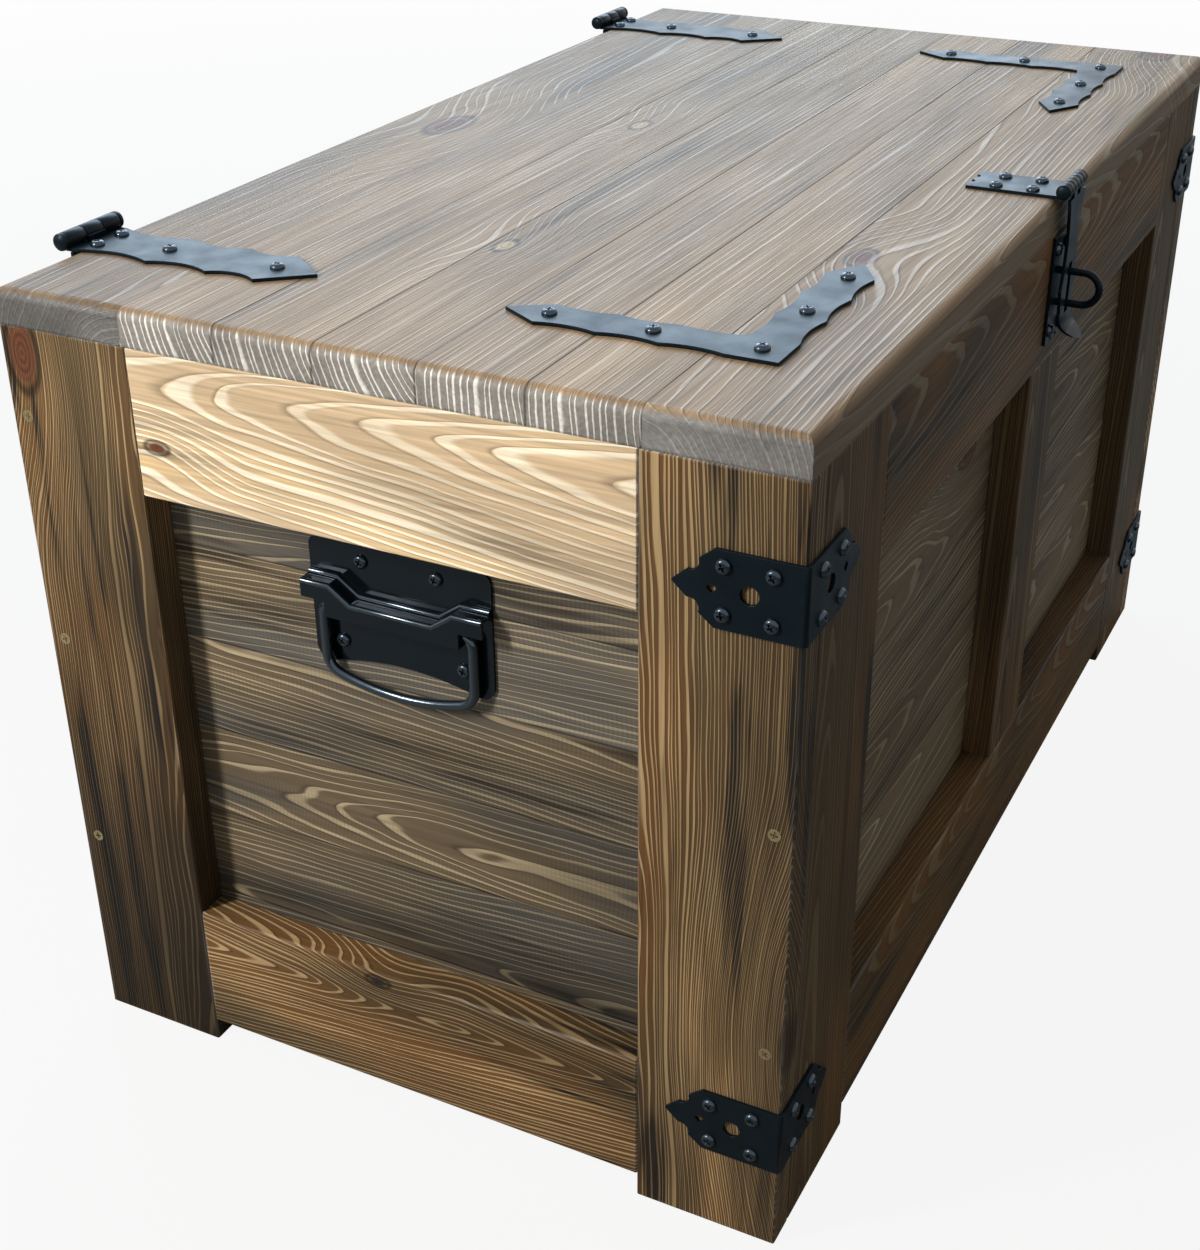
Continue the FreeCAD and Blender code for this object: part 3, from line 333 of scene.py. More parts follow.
    # Painted shade: faces that don't face up are darkened to the Side share, as if out of the light
    # from above
    normal = put(PLACE, out="Normal")
    painted_side_shade = put(SPLIT, (normal,), out="Z")
    painted_side_shade = put(RANGE, (painted_side_shade, 0.2, 0.7, given["Side"], 1))
    face = put(VECTORS, {0: face, "Scale": painted_side_shade}, "SCALE")
    end = put(VECTORS, (normal, given["Grain"]), "DOT_PRODUCT", out="Value")
    end = put(MATH, (end,), "ABSOLUTE")
    end = put(RANGE, (end, 0.55, 0.85, 0, 1))
    sawn = put(MIX, {SHARE: late, FROM: given["End early"], TO: given["End late"]}, **COLOURS)
    shade = put(MIX, {SHARE: end, FROM: face, TO: sawn}, **COLOURS)

    # Lights and darks: brush lines, bands along the board, each stave's own tone, saw marks across
    stave_tone = put("ShaderNodeSeparateColor", (chance,), out="Blue")
    stave_tone = put(RANGE, (stave_tone, 0, 1, 0.86, 1.14))
    teeth = put(MATH, (cloud["wander"], 12 * MM, along), "MULTIPLY_ADD")
    teeth = put(MATH, (teeth, FULL_TURN / pine.teeth), "MULTIPLY")
    teeth = put(MATH, (teeth,), "SINE")
    marks = put(MATH, (part["saw marks"], given["Saw"]), "MULTIPLY")
    marks = put(MATH, (teeth, marks, 1), "MULTIPLY_ADD")
    value = part["brush light"]
    for factor in (part["band light"], stave_tone, marks, given["Tone"]):
        value = put(MATH, (value, factor), "MULTIPLY")
    shade = put(VECTORS, {0: shade, "Scale": value}, "SCALE")

    # The knots' colours: a heart with its own fine rings, and a dark rim
    for far, heart, rim in knots:
        fine = put(MATH, (far, FULL_TURN / knot_ring), "MULTIPLY")
        fine = put(MATH, (fine,), "SINE")
        fine = put(RANGE, (fine, -1, 1, 0.7, 1.2))
        core = put(VECTORS, {0: given["Knot colour"], "Scale": fine}, "SCALE")
        shade = put(MIX, {SHARE: heart, FROM: shade, TO: core}, **COLOURS)
        shade = put(MIX, {SHARE: rim, FROM: shade, TO: (*pine.rim, 1)}, **COLOURS)

    # Glue lines between staves, painted shade that darkens each board towards its foot, and edges
    # rubbed a little paler
    glue_line, rub_start, rub_end = 1.1 * MM, 0.2 * MM, 1.8 * MM
    seam = put(MATH, (in_stave,), "ABSOLUTE")
    seam = put(MATH, (given["Stave"], 0.5, seam), "MULTIPLY_ADD")
    seam = put(MATH, (given["Stave"], seam), "SUBTRACT")
    seam = put(RANGE, (seam, 0, glue_line, 0.6, 0))
    glued = put(MATH, (given["Stave"], MM), "GREATER_THAN")
    seam = put(MATH, (seam, glued), "MULTIPLY")
    shade = put(MIX, {SHARE: seam, FROM: shade, TO: (*pine.rim, 1)}, **COLOURS)
    low = put(VECTORS, (place, given["Low"]), "SUBTRACT")
    high = put(VECTORS, (given["High"], place), "SUBTRACT")
    inside = put(VECTORS, (low, high), "MINIMUM")
    inside = put(VECTORS, (inside, given["Joined"]), "ADD")
    dx, dy, dz = put(SPLIT, (inside,)).node.outputs
    nearest = put(MATH, (dx, dy), "MINIMUM")
    other = put(MATH, (dx, dy), "MAXIMUM")
    other = put(MATH, (other, dz), "MINIMUM")
    to_edge = put(MATH, (nearest, other), "MAXIMUM")
    tall = put(VECTORS, (given["High"], given["Low"]), "SUBTRACT")
    share = put(VECTORS, (low, tall), "DIVIDE")
    share = put(SPLIT, (share,), out="Z")
    # Painted shade: the colour darkens towards the board's bottom, as if in shadow
    foot = put(RANGE, (share, 0.2, 0.9, given["Foot"], 1), **SMOOTH)
    shade = put(VECTORS, {0: shade, "Scale": foot}, "SCALE")
    worn = put(RANGE, (to_edge, rub_start, rub_end, 0.18, 0))
    worn = put(MATH, (worn, part["wear"]), "MULTIPLY")
    shade = put(MIX, {SHARE: worn, FROM: shade, TO: given["End late"]}, **COLOURS)

    # Relief in shares of its height: fibres and hard lines stand up, seams lie low, edges round off
    fibre_height, line_height, seam_height, tooth_height, polish = 0.7, 0.6, -2.4, 0.03, -0.14
    height = put(MATH, (cloud["brush"], fibre_height), "MULTIPLY")
    for form, rise in ((late, line_height), (seam, seam_height), (teeth, tooth_height)):
        height = put(MATH, (form, rise, height), "MULTIPLY_ADD")
    drop_off = put(MATH, (given["Round"], to_edge), "SUBTRACT")
    drop_off = put(MATH, (drop_off, 0), "MAXIMUM")
    drop_off = put(MATH, (drop_off, drop_off), "MULTIPLY")
    drop_off = put(MATH, (drop_off, given["Round"]), "DIVIDE")
    height = put(MATH, (drop_off, -0.5 / pine.relief, height), "MULTIPLY_ADD")
    rough = put(MATH, (late, polish, part["roughness"]), "MULTIPLY_ADD")
    put("NodeGroupOutput", {"Colour": shade, "Roughness": rough, "Height": height})


def brushed_pine(node, grain, width, tints, seed, *, pith=(8, 30), slope=0.05, ring=1.0, line=0.34,
                 wander=2.6, stave=0.0, seam=None, spread=(2.0, 0.03, 0.03), tone=1.0, stain=0.7,
                 sawn=0.0, side=1.0, wax=0.2, ends=None, joined=(0, 0, 0), rounding=1.2, foot=1.0,
                 knots=(), knot=None):
    """One board's own pine, set into a CAD node's slots: how its grain runs and how it was sawn.

    To the eye: dark stained wood with raised honey lines that catch the light, duller in the low
    soft wood. The pith lies so many millimetres across and under the board's middle; line is the
    hard wood's share of a ring; each knot is a place and a size. Side and foot are painted shade:
    side darkens the faces that don't face up, and foot darkens the board towards its bottom.
    """
    pine = bpy.context.scene.chest_pine
    low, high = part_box(node)
    turn = Matrix((grain, width, grain.cross(width)))
    start = (Vector(low) + Vector(high)) / 2
    if seam is not None:
        start = start - width * start.dot(width) + width * seam
    no_knot = (0, 0, 0, 0)
    spots = [*knots, no_knot, no_knot][:2]
    early, warm, late = ((*tint, 1) for tint in tints)
    end_early, end_late = ((*tint, 1) for tint in ends or (pine.end_early, pine.end_late))
    material, put, shader = new_material(f"brushed_stained_pine_{node}")
    wood = put("ShaderNodeGroup", {
        "Turn": turn.to_euler("XYZ"), "Centre": -(turn @ start),
        "Pith": (0, pith[0] * MM, pith[1] * MM), "Spread": spread, "Grain": grain,
        "Ring": pine.ring * ring, "Line": line, "Slope": slope, "Wander": wander, "Stave": stave,
        "Seed": seed, "Tone": tone, "Stain": stain, "Saw": sawn, "Side": side,
        "Early": early, "Warm": warm, "Late": late, "End early": end_early, "End late": end_late,
        "Knot colour": (*(knot or pine.knot), 1), "Knot a": spots[0][:3], "Size a": spots[0][3],
        "Knot b": spots[1][:3], "Size b": spots[1][3], "Low": low, "High": high, "Joined": joined,
        "Round": rounding * MM, "Foot": foot},
        node_tree=bpy.data.node_groups["brushed_pine"]).node.outputs
    bump = put(BUMP, {"Height": wood["Height"], "Distance": pine.relief, "Strength": 0.8})
    feed(shader, {
        "Base Color": wood["Colour"], "Roughness": wood["Roughness"], "Normal": bump,
        "Specular IOR Level": wax})
    put_on(node, material)
    if not stave:
        ease(node, pine.edge)


def ease(node, width):
    """Rounds the edges of a CAD node with modifiers, its loose triangles welded first."""
    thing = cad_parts[node]
    thing.modifiers.new("weld", "WELD").merge_threshold = 0.002 * MM
    bevel = thing.modifiers.new("ease", "BEVEL")
    bevel.width, bevel.segments, bevel.limit_method = width, 2, "ANGLE"
    bevel.angle_limit = math.radians(CORNER)
    bevel.harden_normals = True


def put_on(node, material):
    """Sets a material into every slot of a CAD node."""
    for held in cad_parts[node].material_slots:
        held.material = material


def coated_steel(name, shade, roughness, specular, peel=0.6):
    """Powder-coated steel: near black, its reflections broken by a faint ripple and smudges."""
    steel = bpy.context.scene.chest_steel
    material, put, shader = new_material(name)
    smudge_size, ripple_height = 18 * MM, 0.02 * MM
    place = put(PLACE, out="Object")
    ripple = put(NOISE, {"Vector": place, "Scale": 1 / steel.peel, "Detail": 2})
    smudge = put(NOISE, {"Vector": place, "Scale": 1 / smudge_size, "Detail": 4})
    dusty = [1.8 * c + 0.0015 for c in shade]
    feed(shader, {
        "Base Color": put(MIX, {SHARE: smudge, FROM: (*shade, 1), TO: (*dusty, 1)}, **COLOURS),
        "Roughness": put(RANGE, (smudge, 0.3, 0.7, roughness - 0.07, roughness + 0.09)),
        "Specular IOR Level": specular, "Specular Tint": (*steel.sheen, 1),
        "Normal": put(BUMP, {"Height": ripple, "Distance": ripple_height, "Strength": peel})})
    return material


def plated_zinc():
    """Yellow-passivated zinc on a screw: a warm metal, dulled in patches."""
    tint = bpy.context.scene.chest_steel.zinc
    material, put, shader = new_material("yellow_zinc_plated_steel")
    patch_size = 1.7 * MM
    place = put(PLACE, out="Object")
    patches = put(NOISE, {"Vector": place, "Scale": 1 / patch_size, "Detail": 3})
    dulled = [0.5 * c for c in tint]
    feed(shader, {
        "Base Color": put(MIX, {SHARE: patches, FROM: (*dulled, 1), TO: (*tint, 1)}, **COLOURS),
        "Roughness": put(RANGE, (patches, 0, 1, 0.25, 0.5)), "Metallic": 1})
    return material


# Meshes

def placed(name, data):
    """A new object at the origin, in the scene."""
    thing = bpy.data.objects.new(name, data)
    bpy.context.scene.collection.objects.link(thing)
    return thing


def smoothed(mesh, corner=CORNER):
    """Shades a mesh smooth, except at corners of more than an angle in degrees."""
    for face in mesh.polygons:
        face.use_smooth = True
    mesh.set_sharp_from_angle(angle=math.radians(corner))


def finished(name, shape, corner=CORNER):
    """A bmesh as a new object at the origin, smooth except at corners."""
    bmesh.ops.recalc_face_normals(shape, faces=shape.faces)
    mesh = bpy.data.meshes.new(name)
    shape.to_mesh(mesh)
    shape.free()
    smoothed(mesh, corner)
    return placed(name, mesh)


def round_ring(shape, radius, level):
    """A level ring of corners about +Z."""
    turns = [FULL_TURN * i / ROUND_SIDES for i in range(ROUND_SIDES)]
    return [shape.verts.new((radius * math.cos(a), radius * math.sin(a), level)) for a in turns]


def lathe(name, profile):
    """A round solid about +Z from a profile of radius and height.

    A profile that begins on the axis ends there too; any other closes round a bore.
    """
    shape = bmesh.new()
    bored = profile[0][0] > 0
    rings = [round_ring(shape, *corner) for corner in (profile if bored else profile[1:-1])]
    ends = [] if bored else [shape.verts.new((0, 0, profile[i][1])) for i in (0, -1)]
    for i in range(ROUND_SIDES):
        j = (i + 1) % ROUND_SIDES
        for low, high in zip(rings, rings[1:] + rings[:1] if bored else rings[1:]):
            shape.faces.new((low[i], low[j], high[j], high[i]))
        for end, ring in zip(ends, (rings[0], rings[-1])):
            shape.faces.new((end, ring[i], ring[j]))
    return finished(name, shape)


def cross_head(name, profile, flat):
    """A screw head about +Z: a turned rim up to a flat, with a cross recess cut down into it.

    The profile gives radius and height in millimetres, from the foot upwards, and so does the flat.
    """
    arm, half_arm, deep, taper = bpy.context.scene.chest_steel.recess, 0.55 * MM, 1.5 * MM, 0.6
    flat *= MM
    shape = bmesh.new()
    rings = [round_ring(shape, radius * MM, level * MM) for radius, level in profile[1:]]
    foot = shape.verts.new((0, 0, profile[0][1] * MM))
    for i in range(ROUND_SIDES):
        j = (i + 1) % ROUND_SIDES
        shape.faces.new((foot, rings[0][j], rings[0][i]))
        for low, high in zip(rings, rings[1:]):
            shape.faces.new((low[i], low[j], high[j], high[i]))
    corners = [(c * x - s * y, s * x + c * y) for c, s in ((1, 0), (0, 1), (-1, 0), (0, -1))
               for x, y in ((half_arm, half_arm), (half_arm, arm), (-half_arm, arm))]
    mouth = [shape.verts.new((x, y, flat)) for x, y in corners]
    bottom = [shape.verts.new((taper * x, taper * y, flat - deep)) for x, y in corners]
    for i in range(len(corners)):
        j = (i + 1) % len(corners)
        shape.faces.new((mouth[j], mouth[i], bottom[i], bottom[j]))
    shape.faces.new(bottom)
    edges = [shape.edges.get((ring[i], ring[(i + 1) % len(ring)]))
             for ring in (rings[-1], mouth) for i in range(len(ring))]
    bmesh.ops.triangle_fill(shape, edges=edges, use_beauty=True)
    return finished(name, shape, 30)


def islands(node):
    """The separate solids of a CAD node, each as its lowest and highest corner."""
    shape = bmesh.new()
    shape.from_mesh(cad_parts[node].data)
    bmesh.ops.remove_doubles(shape, verts=shape.verts, dist=0.005 * MM)
    seen, found = set(), []
    for first in shape.verts:
        if first in seen:
            continue
        seen.add(first)
        waiting, members = [first], []
        while waiting:
            here = waiting.pop()
            members.append(here.co.copy())
            for edge in here.link_edges:
                there = edge.other_vert(here)
                if there not in seen:
                    seen.add(there)
                    waiting.append(there)
        found.append([Vector(f(p[i] for p in members) for i in range(3)) for f in (min, max)])
    shape.free()
    return found


def screw_seats(node):
    """Each screw of a CAD node as the top of its head and the way it points."""
    seats = []
    for low, high in islands(node):
        middle, size = (low + high) / 2, high - low
        axis = max(range(3), key=lambda i: size[i])
        way = Vector((0, 0, 0))
        way[axis] = math.copysign(1, middle[axis])
        seats.append((middle + way * size[axis] / 2, way))
    return seats


def seats_tree():
    """Geometry Nodes: one fastener on each seat, pointing outwards, each turned by chance."""
    put, given = new_group(
        "fasteners_on_seats", "GeometryNodeTree",
        {"Geometry": "Geometry", "Object": "Fastener", "Material": "Finish", "Float": "Turn",
         "Int": "Seed"}, {"Geometry": "Geometry"})
    way = put("GeometryNodeInputNamedAttribute", {"Name": "way"}, data_type="FLOAT_VECTOR")
    facing = put("FunctionNodeAlignRotationToVector", {"Vector": way}, axis="Z")
    limits = {2: 0.0, 3: given["Turn"], "Seed": given["Seed"]}
    chance = put("FunctionNodeRandomValue", limits, out=1, data_type="FLOAT")
    spin = put("FunctionNodeAxisAngleToRotation", {"Axis": (0, 0, 1), "Angle": chance})
    turned = put("FunctionNodeRotateRotation", (facing, spin), rotation_space="LOCAL")
    one = put("GeometryNodeObjectInfo", {"Object": given["Fastener"]}, out="Geometry")
    every = put("GeometryNodeInstanceOnPoints", {
        "Points": given["Geometry"], "Instance": one, "Rotation": turned})
    give_out(put, every, given["Finish"])


def wire_tree():
    """Geometry Nodes: drawn round wire along a path of edges, closed at both ends."""
    put, given = new_group(
        "drawn_wire", "GeometryNodeTree",
        {"Geometry": "Geometry", "Float": "Radius", "Int": "Sides", "Material": "Finish"},
        {"Geometry": "Geometry"})
    path = put("GeometryNodeMeshToCurve", {"Mesh": given["Geometry"]})
    ring = put("GeometryNodeCurvePrimitiveCircle", {
        "Resolution": given["Sides"], "Radius": given["Radius"]})
    tube = put("GeometryNodeCurveToMesh", {"Curve": path, "Profile Curve": ring, "Fill Caps": True})
    give_out(put, tube, given["Finish"])


def give_out(put, shape, finish):
    """Ends a Geometry Nodes tree: its shape as one real mesh in its finish."""
    real = put("GeometryNodeRealizeInstances", {"Geometry": shape})
    last = put("GeometryNodeSetMaterial", {"Geometry": real, "Material": finish})
    put("NodeGroupOutput", {"Geometry": last})


def grown(name, points, edges, tree_name, values, ways=()):
    """The plain mesh that a Geometry Nodes tree makes from points, as a new object."""
    mesh = bpy.data.meshes.new(name + "_path")
    mesh.from_pydata(points, edges, [])
    if ways:
        held = mesh.attributes.new("way", "FLOAT_VECTOR", "POINT")
        for i, way in enumerate(ways):
            held.data[i].vector = way
    source = placed(name + "_path", mesh)
    modifier = source.modifiers.new("nodes", "NODES")
    modifier.node_group = bpy.data.node_groups[tree_name]
    for item in modifier.node_group.interface.items_tree:
        if item.in_out == "INPUT" and item.name in values:
            modifier[item.identifier] = values[item.name]
    graph = bpy.context.evaluated_depsgraph_get()
    made = bpy.data.meshes.new_from_object(source.evaluated_get(graph), depsgraph=graph)
    made.name = name
    smoothed(made)
    drop(source)
    if not made.polygons:
        raise RuntimeError(f"{name} came out empty")
    return placed(name, made)


def seated(name, pattern, finish, points, ways, turn=0.0, seed=0):
    """A copy of a pattern at each point, along the way given for it."""
    values = {"Fastener": pattern, "Finish": finish, "Turn": turn, "Seed": seed}
    return grown(name, points, [], "fasteners_on_seats", values, ways)


def drawn(name, path, radius, finish):
    """Round wire along a path of points."""
    edges = [(i, i + 1) for i in range(len(path) - 1)]
    values = {"Radius": radius, "Sides": WIRE_SIDES, "Finish": finish}
    return grown(name, path, edges, "drawn_wire", values)


def drop(thing):
    """Takes away an object that was only a pattern or a path for others."""
    mesh = thing.data
    bpy.data.objects.remove(thing)
    bpy.data.meshes.remove(mesh)


def held_by(piece, body, *nodes, slot="black_coated_steel"):
    """Puts a finished piece on its body, in the place of CAD nodes if any are named."""
    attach(piece, body)
    if nodes:
        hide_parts(*nodes)


def arc(centre, radius, start, end, step):
    """Points of an arc in the YZ plane, from one angle to another in degrees."""
    count = max(1, math.ceil(abs(end - start) / step))
    turns = [math.radians(start + (end - start) * i / count) for i in range(count + 1)]
    return [centre + Vector((0, radius * math.cos(a), radius * math.sin(a))) for a in turns]


def wire_radius(low, high):
    """Radius of the round wire that an eight-sided solid wire of a box stands for."""
    return (high.x - low.x) / 2 / math.cos(math.pi / 8)


# Operators

class CHEST_OT_frame_boards(bpy.types.Operator):
    """Dresses the stiles and rails of the four framed sides"""
    bl_idname = "chest.frame_boards"
    bl_label = "Frame boards"

    def execute(self, context):
        pine = context.scene.chest_pine
        brushed_pine_group()
        dark = (pine.frame_early, pine.frame_warm, pine.frame_late)
        pale = (pine.pale_lit_early, pine.pale_lit_warm, pine.pale_lit_late)
        dull = (pine.frame_early, pine.frame_warm, pine.frame_dull)
        seeds = itertools.count(1)
        for side, x in (("left", -END_FACE), ("right", END_FACE)):
            # foot is painted shade: the back stiles darken strongly towards the bottom, the front
            # ones hardly
            for end, pith, ring, foot, knot in (
                    ("front", (-46, 30), 0.4, 0.95, (x, -0.238, 0.135, 0.017)),
                    ("back", (50, 26), 0.42, 0.2, (x, 0.212, 0.436, 0.013))):
                brushed_pine(
                    f"{side}_end_{end}_stile", Z, Y, dark, next(seeds), pith=pith, slope=0.012,
                    ring=ring, line=0.4, wander=7, stain=1.3, foot=foot, knots=[knot])
            # The top rail's pale colours and tone of 1.22 are partly painted light: brightened as if
            # more strongly lit
            brushed_pine(
                f"{side}_end_top_rail", Y, Z, pale, next(seeds), pith=(-34, 24), slope=0.09,
                ring=1.2, line=0.42, wander=3.0, tone=1.22, stain=0.6,
                knots=[(x, 0.13, 0.398, 0.006)])
            brushed_pine(
                f"{side}_end_bottom_rail", Y, Z, dark, next(seeds), pith=(-10, 20), slope=-0.1,
                ring=0.75, line=0.4, wander=3.2, stain=1.3, knot=pine.stain,
                knots=[(x, 0.02, 0.09, 0.006)])
        for face in ("front", "back"):
            for place in ("left", "middle", "right"):
                brushed_pine(
                    f"{face}_{place}_stile", Z, X, dull, next(seeds), pith=(30, 38), slope=0.03,
                    ring=0.6, wander=2.8, tone=0.85)
            for level, slope in (("top", 0.05), ("bottom", -0.06)):
                brushed_pine(
                    f"{face}_{level}_rail", X, Z, dull, next(seeds), pith=(-24, 30), slope=slope,
                    ring=0.7, wander=3.2, tone=0.85)
        return {"FINISHED"}


class CHEST_OT_panels(bpy.types.Operator):
    """Dresses the stave panels behind the frames, the floor and its bearers"""
    bl_idname = "chest.panels"
    bl_label = "Panels and floor"

    def execute(self, context):
        pine = context.scene.chest_pine
        grey = (pine.panel_early, pine.panel_warm, pine.panel_late)
        brown = (pine.panel_warm, pine.panel_warm, pine.panel_late)
        front_knot = (-0.085, -0.205, 0.335, 0.010)
        # foot is painted shade: the end panels darken towards the bottom
        for seed, (node, grain, tints, foot, knots) in enumerate((
                ("front_panel", X, brown, 1.0, [front_knot]), ("back_panel", X, brown, 1.0, []),
                ("left_end_panel", Y, grey, 0.55, []), ("right_end_panel", Y, grey, 0.55, [])), 40):
            brushed_pine(
                node, grain, Z, tints, seed, pith=(0, 26), slope=0.035, ring=0.85, line=0.28,
                wander=5, stave=STAVE, seam=CARCASS_TOP, spread=(3.0, 0.1, 0.03), stain=0.5,
                sawn=0.09, foot=foot, knots=knots)
        brushed_pine(
            "floor_panel", X, Y, grey, 50, pith=(0, 40), slope=0.04, ring=1.2, line=0.3, wander=3,
            stave=STAVE, seam=0.0, spread=(3.0, 0.05, 0.04))
        for seed, node in enumerate(("front_floor_bearer", "back_floor_bearer"), 51):
            brushed_pine(node, X, Y, grey, seed)
        return {"FINISHED"}


class CHEST_OT_lid(bpy.types.Operator):
    """Dresses the lid's edge boards, its staves and the battens under it"""
    bl_idname = "chest.lid"
    bl_label = "Lid"

    def execute(self, context):
        pine = context.scene.chest_pine
        tints = (pine.lid_lit_early, pine.lid_lit_warm, pine.lid_lit_late)
        plain = (pine.plain_early, pine.plain_late)
        # side 0.5 is painted shade on the edge faces of the lid's boards
        waxed = {"stain": 0.3, "joined": (0, 1, 0), "rounding": 1.5, "side": 0.5, "wax": 0.5}
        brushed_pine(
            "lid_front_board", X, Y, tints, 61, pith=(-64, 26), slope=0.02, ring=0.9, line=0.3,
            knots=[(-0.165, -0.16, LID_TOP, 0.010), (0.39, -0.193, LID_TOP, 0.014)], ends=plain,
            **waxed)
        # The back board's tone of 0.7 is painted shade: it darkens the board where the window's sheen
        # falls strongest
        brushed_pine(
            "lid_back_board", X, Y, tints, 62, pith=(58, 30), slope=-0.02, line=0.26, tone=0.7,
            ends=plain, knots=[(-0.018, 0.181, LID_TOP, 0.015)], **waxed)
        brushed_pine(
            "lid_panel", X, Y, tints, 63, pith=(80, -12), slope=0.006, ring=1.1, line=0.3,
            wander=1.6, stave=STAVE, seam=LID_SEAM, spread=(3.0, 0.05, 0.04), knot=pine.pale_knot,
            knots=[(0.035, 0.067, LID_TOP, 0.008), (-0.228, 0.02, LID_TOP, 0.008)], **waxed)
        for seed, side in enumerate(SIDES, 64):
            brushed_pine(f"lid_{side}_batten", Y, X, tints, seed)
        return {"FINISHED"}


class CHEST_OT_steel_sheet(bpy.types.Operator):
    """Coats the straps, brackets, hasp and handle plates, and eases their edges"""
    bl_idname = "chest.steel_sheet"
    bl_label = "Steel sheet"

    def execute(self, context):
        steel = context.scene.chest_steel
        satin = coated_steel("satin_powder_coated_steel", steel.coat, 0.34, 0.14)
        gloss = coated_steel("gloss_coated_steel", steel.gloss, 0.12, 0.25, 0.12)
        sheets = ("left_hinge_strap", "right_hinge_strap", "left_hinge_back_leaf",
                  "right_hinge_back_leaf", "lid_corner_straps", "corner_brackets", "hasp_leaf",
                  "hasp_strap", "staple_plate")
        for coat, nodes in ((satin, sheets), (gloss, ("left_handle_plate", "right_handle_plate"))):
            for node in nodes:
                put_on(node, coat)
                ease(node, steel.edge)
        return {"FINISHED"}


class CHEST_OT_knuckles(bpy.types.Operator):
    """Draws round knuckles and domed pins on the hinges and the hasp"""
    bl_idname = "chest.knuckles"
    bl_label = "Knuckles and pins"

    def execute(self, context):
        seats_tree()
        for side in SIDES:
            self.barrel(f"{side}_hinge", 3, 2.4 * MM, ("lid", "carcass"), "carcass")
        self.barrel("hasp", 5, 1.9 * MM, ("lid", "hasp"), "lid")
        return {"FINISHED"}

    def barrel(self, name, count, shaft, bodies, pin_body):
        """One row of knuckles, which belong to two bodies in turn, and the pin through them."""
        satin = bpy.data.materials["satin_powder_coated_steel"]
        pin = f"{name}_pin"
        low, high = (Vector(c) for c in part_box(pin))
        axis = (low + high) / 2
        gap, cap, edge, clearance, proud = 0.4 * MM, 3.6 * MM, 0.5 * MM, 0.3 * MM, 0.06 * MM
        bore, soft = shaft + clearance, 0.3 * edge
        radius = (high.z - low.z) / 2 + proud
        half = (high.x - low.x) / 2 - cap - gap
        pitch = 2 * half / count
        tall = (pitch - gap) / 2
        upper = [(radius, tall - edge), (radius - soft, tall - soft), (radius - edge, tall),
                 (bore, tall)]
        sleeve = lathe("knuckle_pattern", [(r, -z) for r, z in reversed(upper)] + upper)
        for turn, body in enumerate(bodies):
            spots = [axis + X * (pitch * (i + 0.5) - half) for i in range(turn, count, 2)]
            piece = seated(f"{name}_knuckles_{body}", sleeve, satin, spots, [X] * len(spots))
            held_by(piece, body)
        drop(sleeve)
        end, dome_depth, rim_depth = half + gap + cap, 0.55 * cap, 0.7 * cap
        slants = [math.radians(a) for a in (25, 50, 75)]
        dome = [(radius * math.sin(a), end - dome_depth * (1 - math.cos(a))) for a in slants]
        neck = end - cap
        upper = [(0, end), *dome, (radius, end - rim_depth), (radius, neck), (shaft, neck)]
        pattern = lathe("pin_pattern", [(r, -z) for r, z in upper] + upper[::-1])
        held_by(seated(f"{name}_round_pin", pattern, satin, [axis], [X]), pin_body, pin)
        drop(pattern)


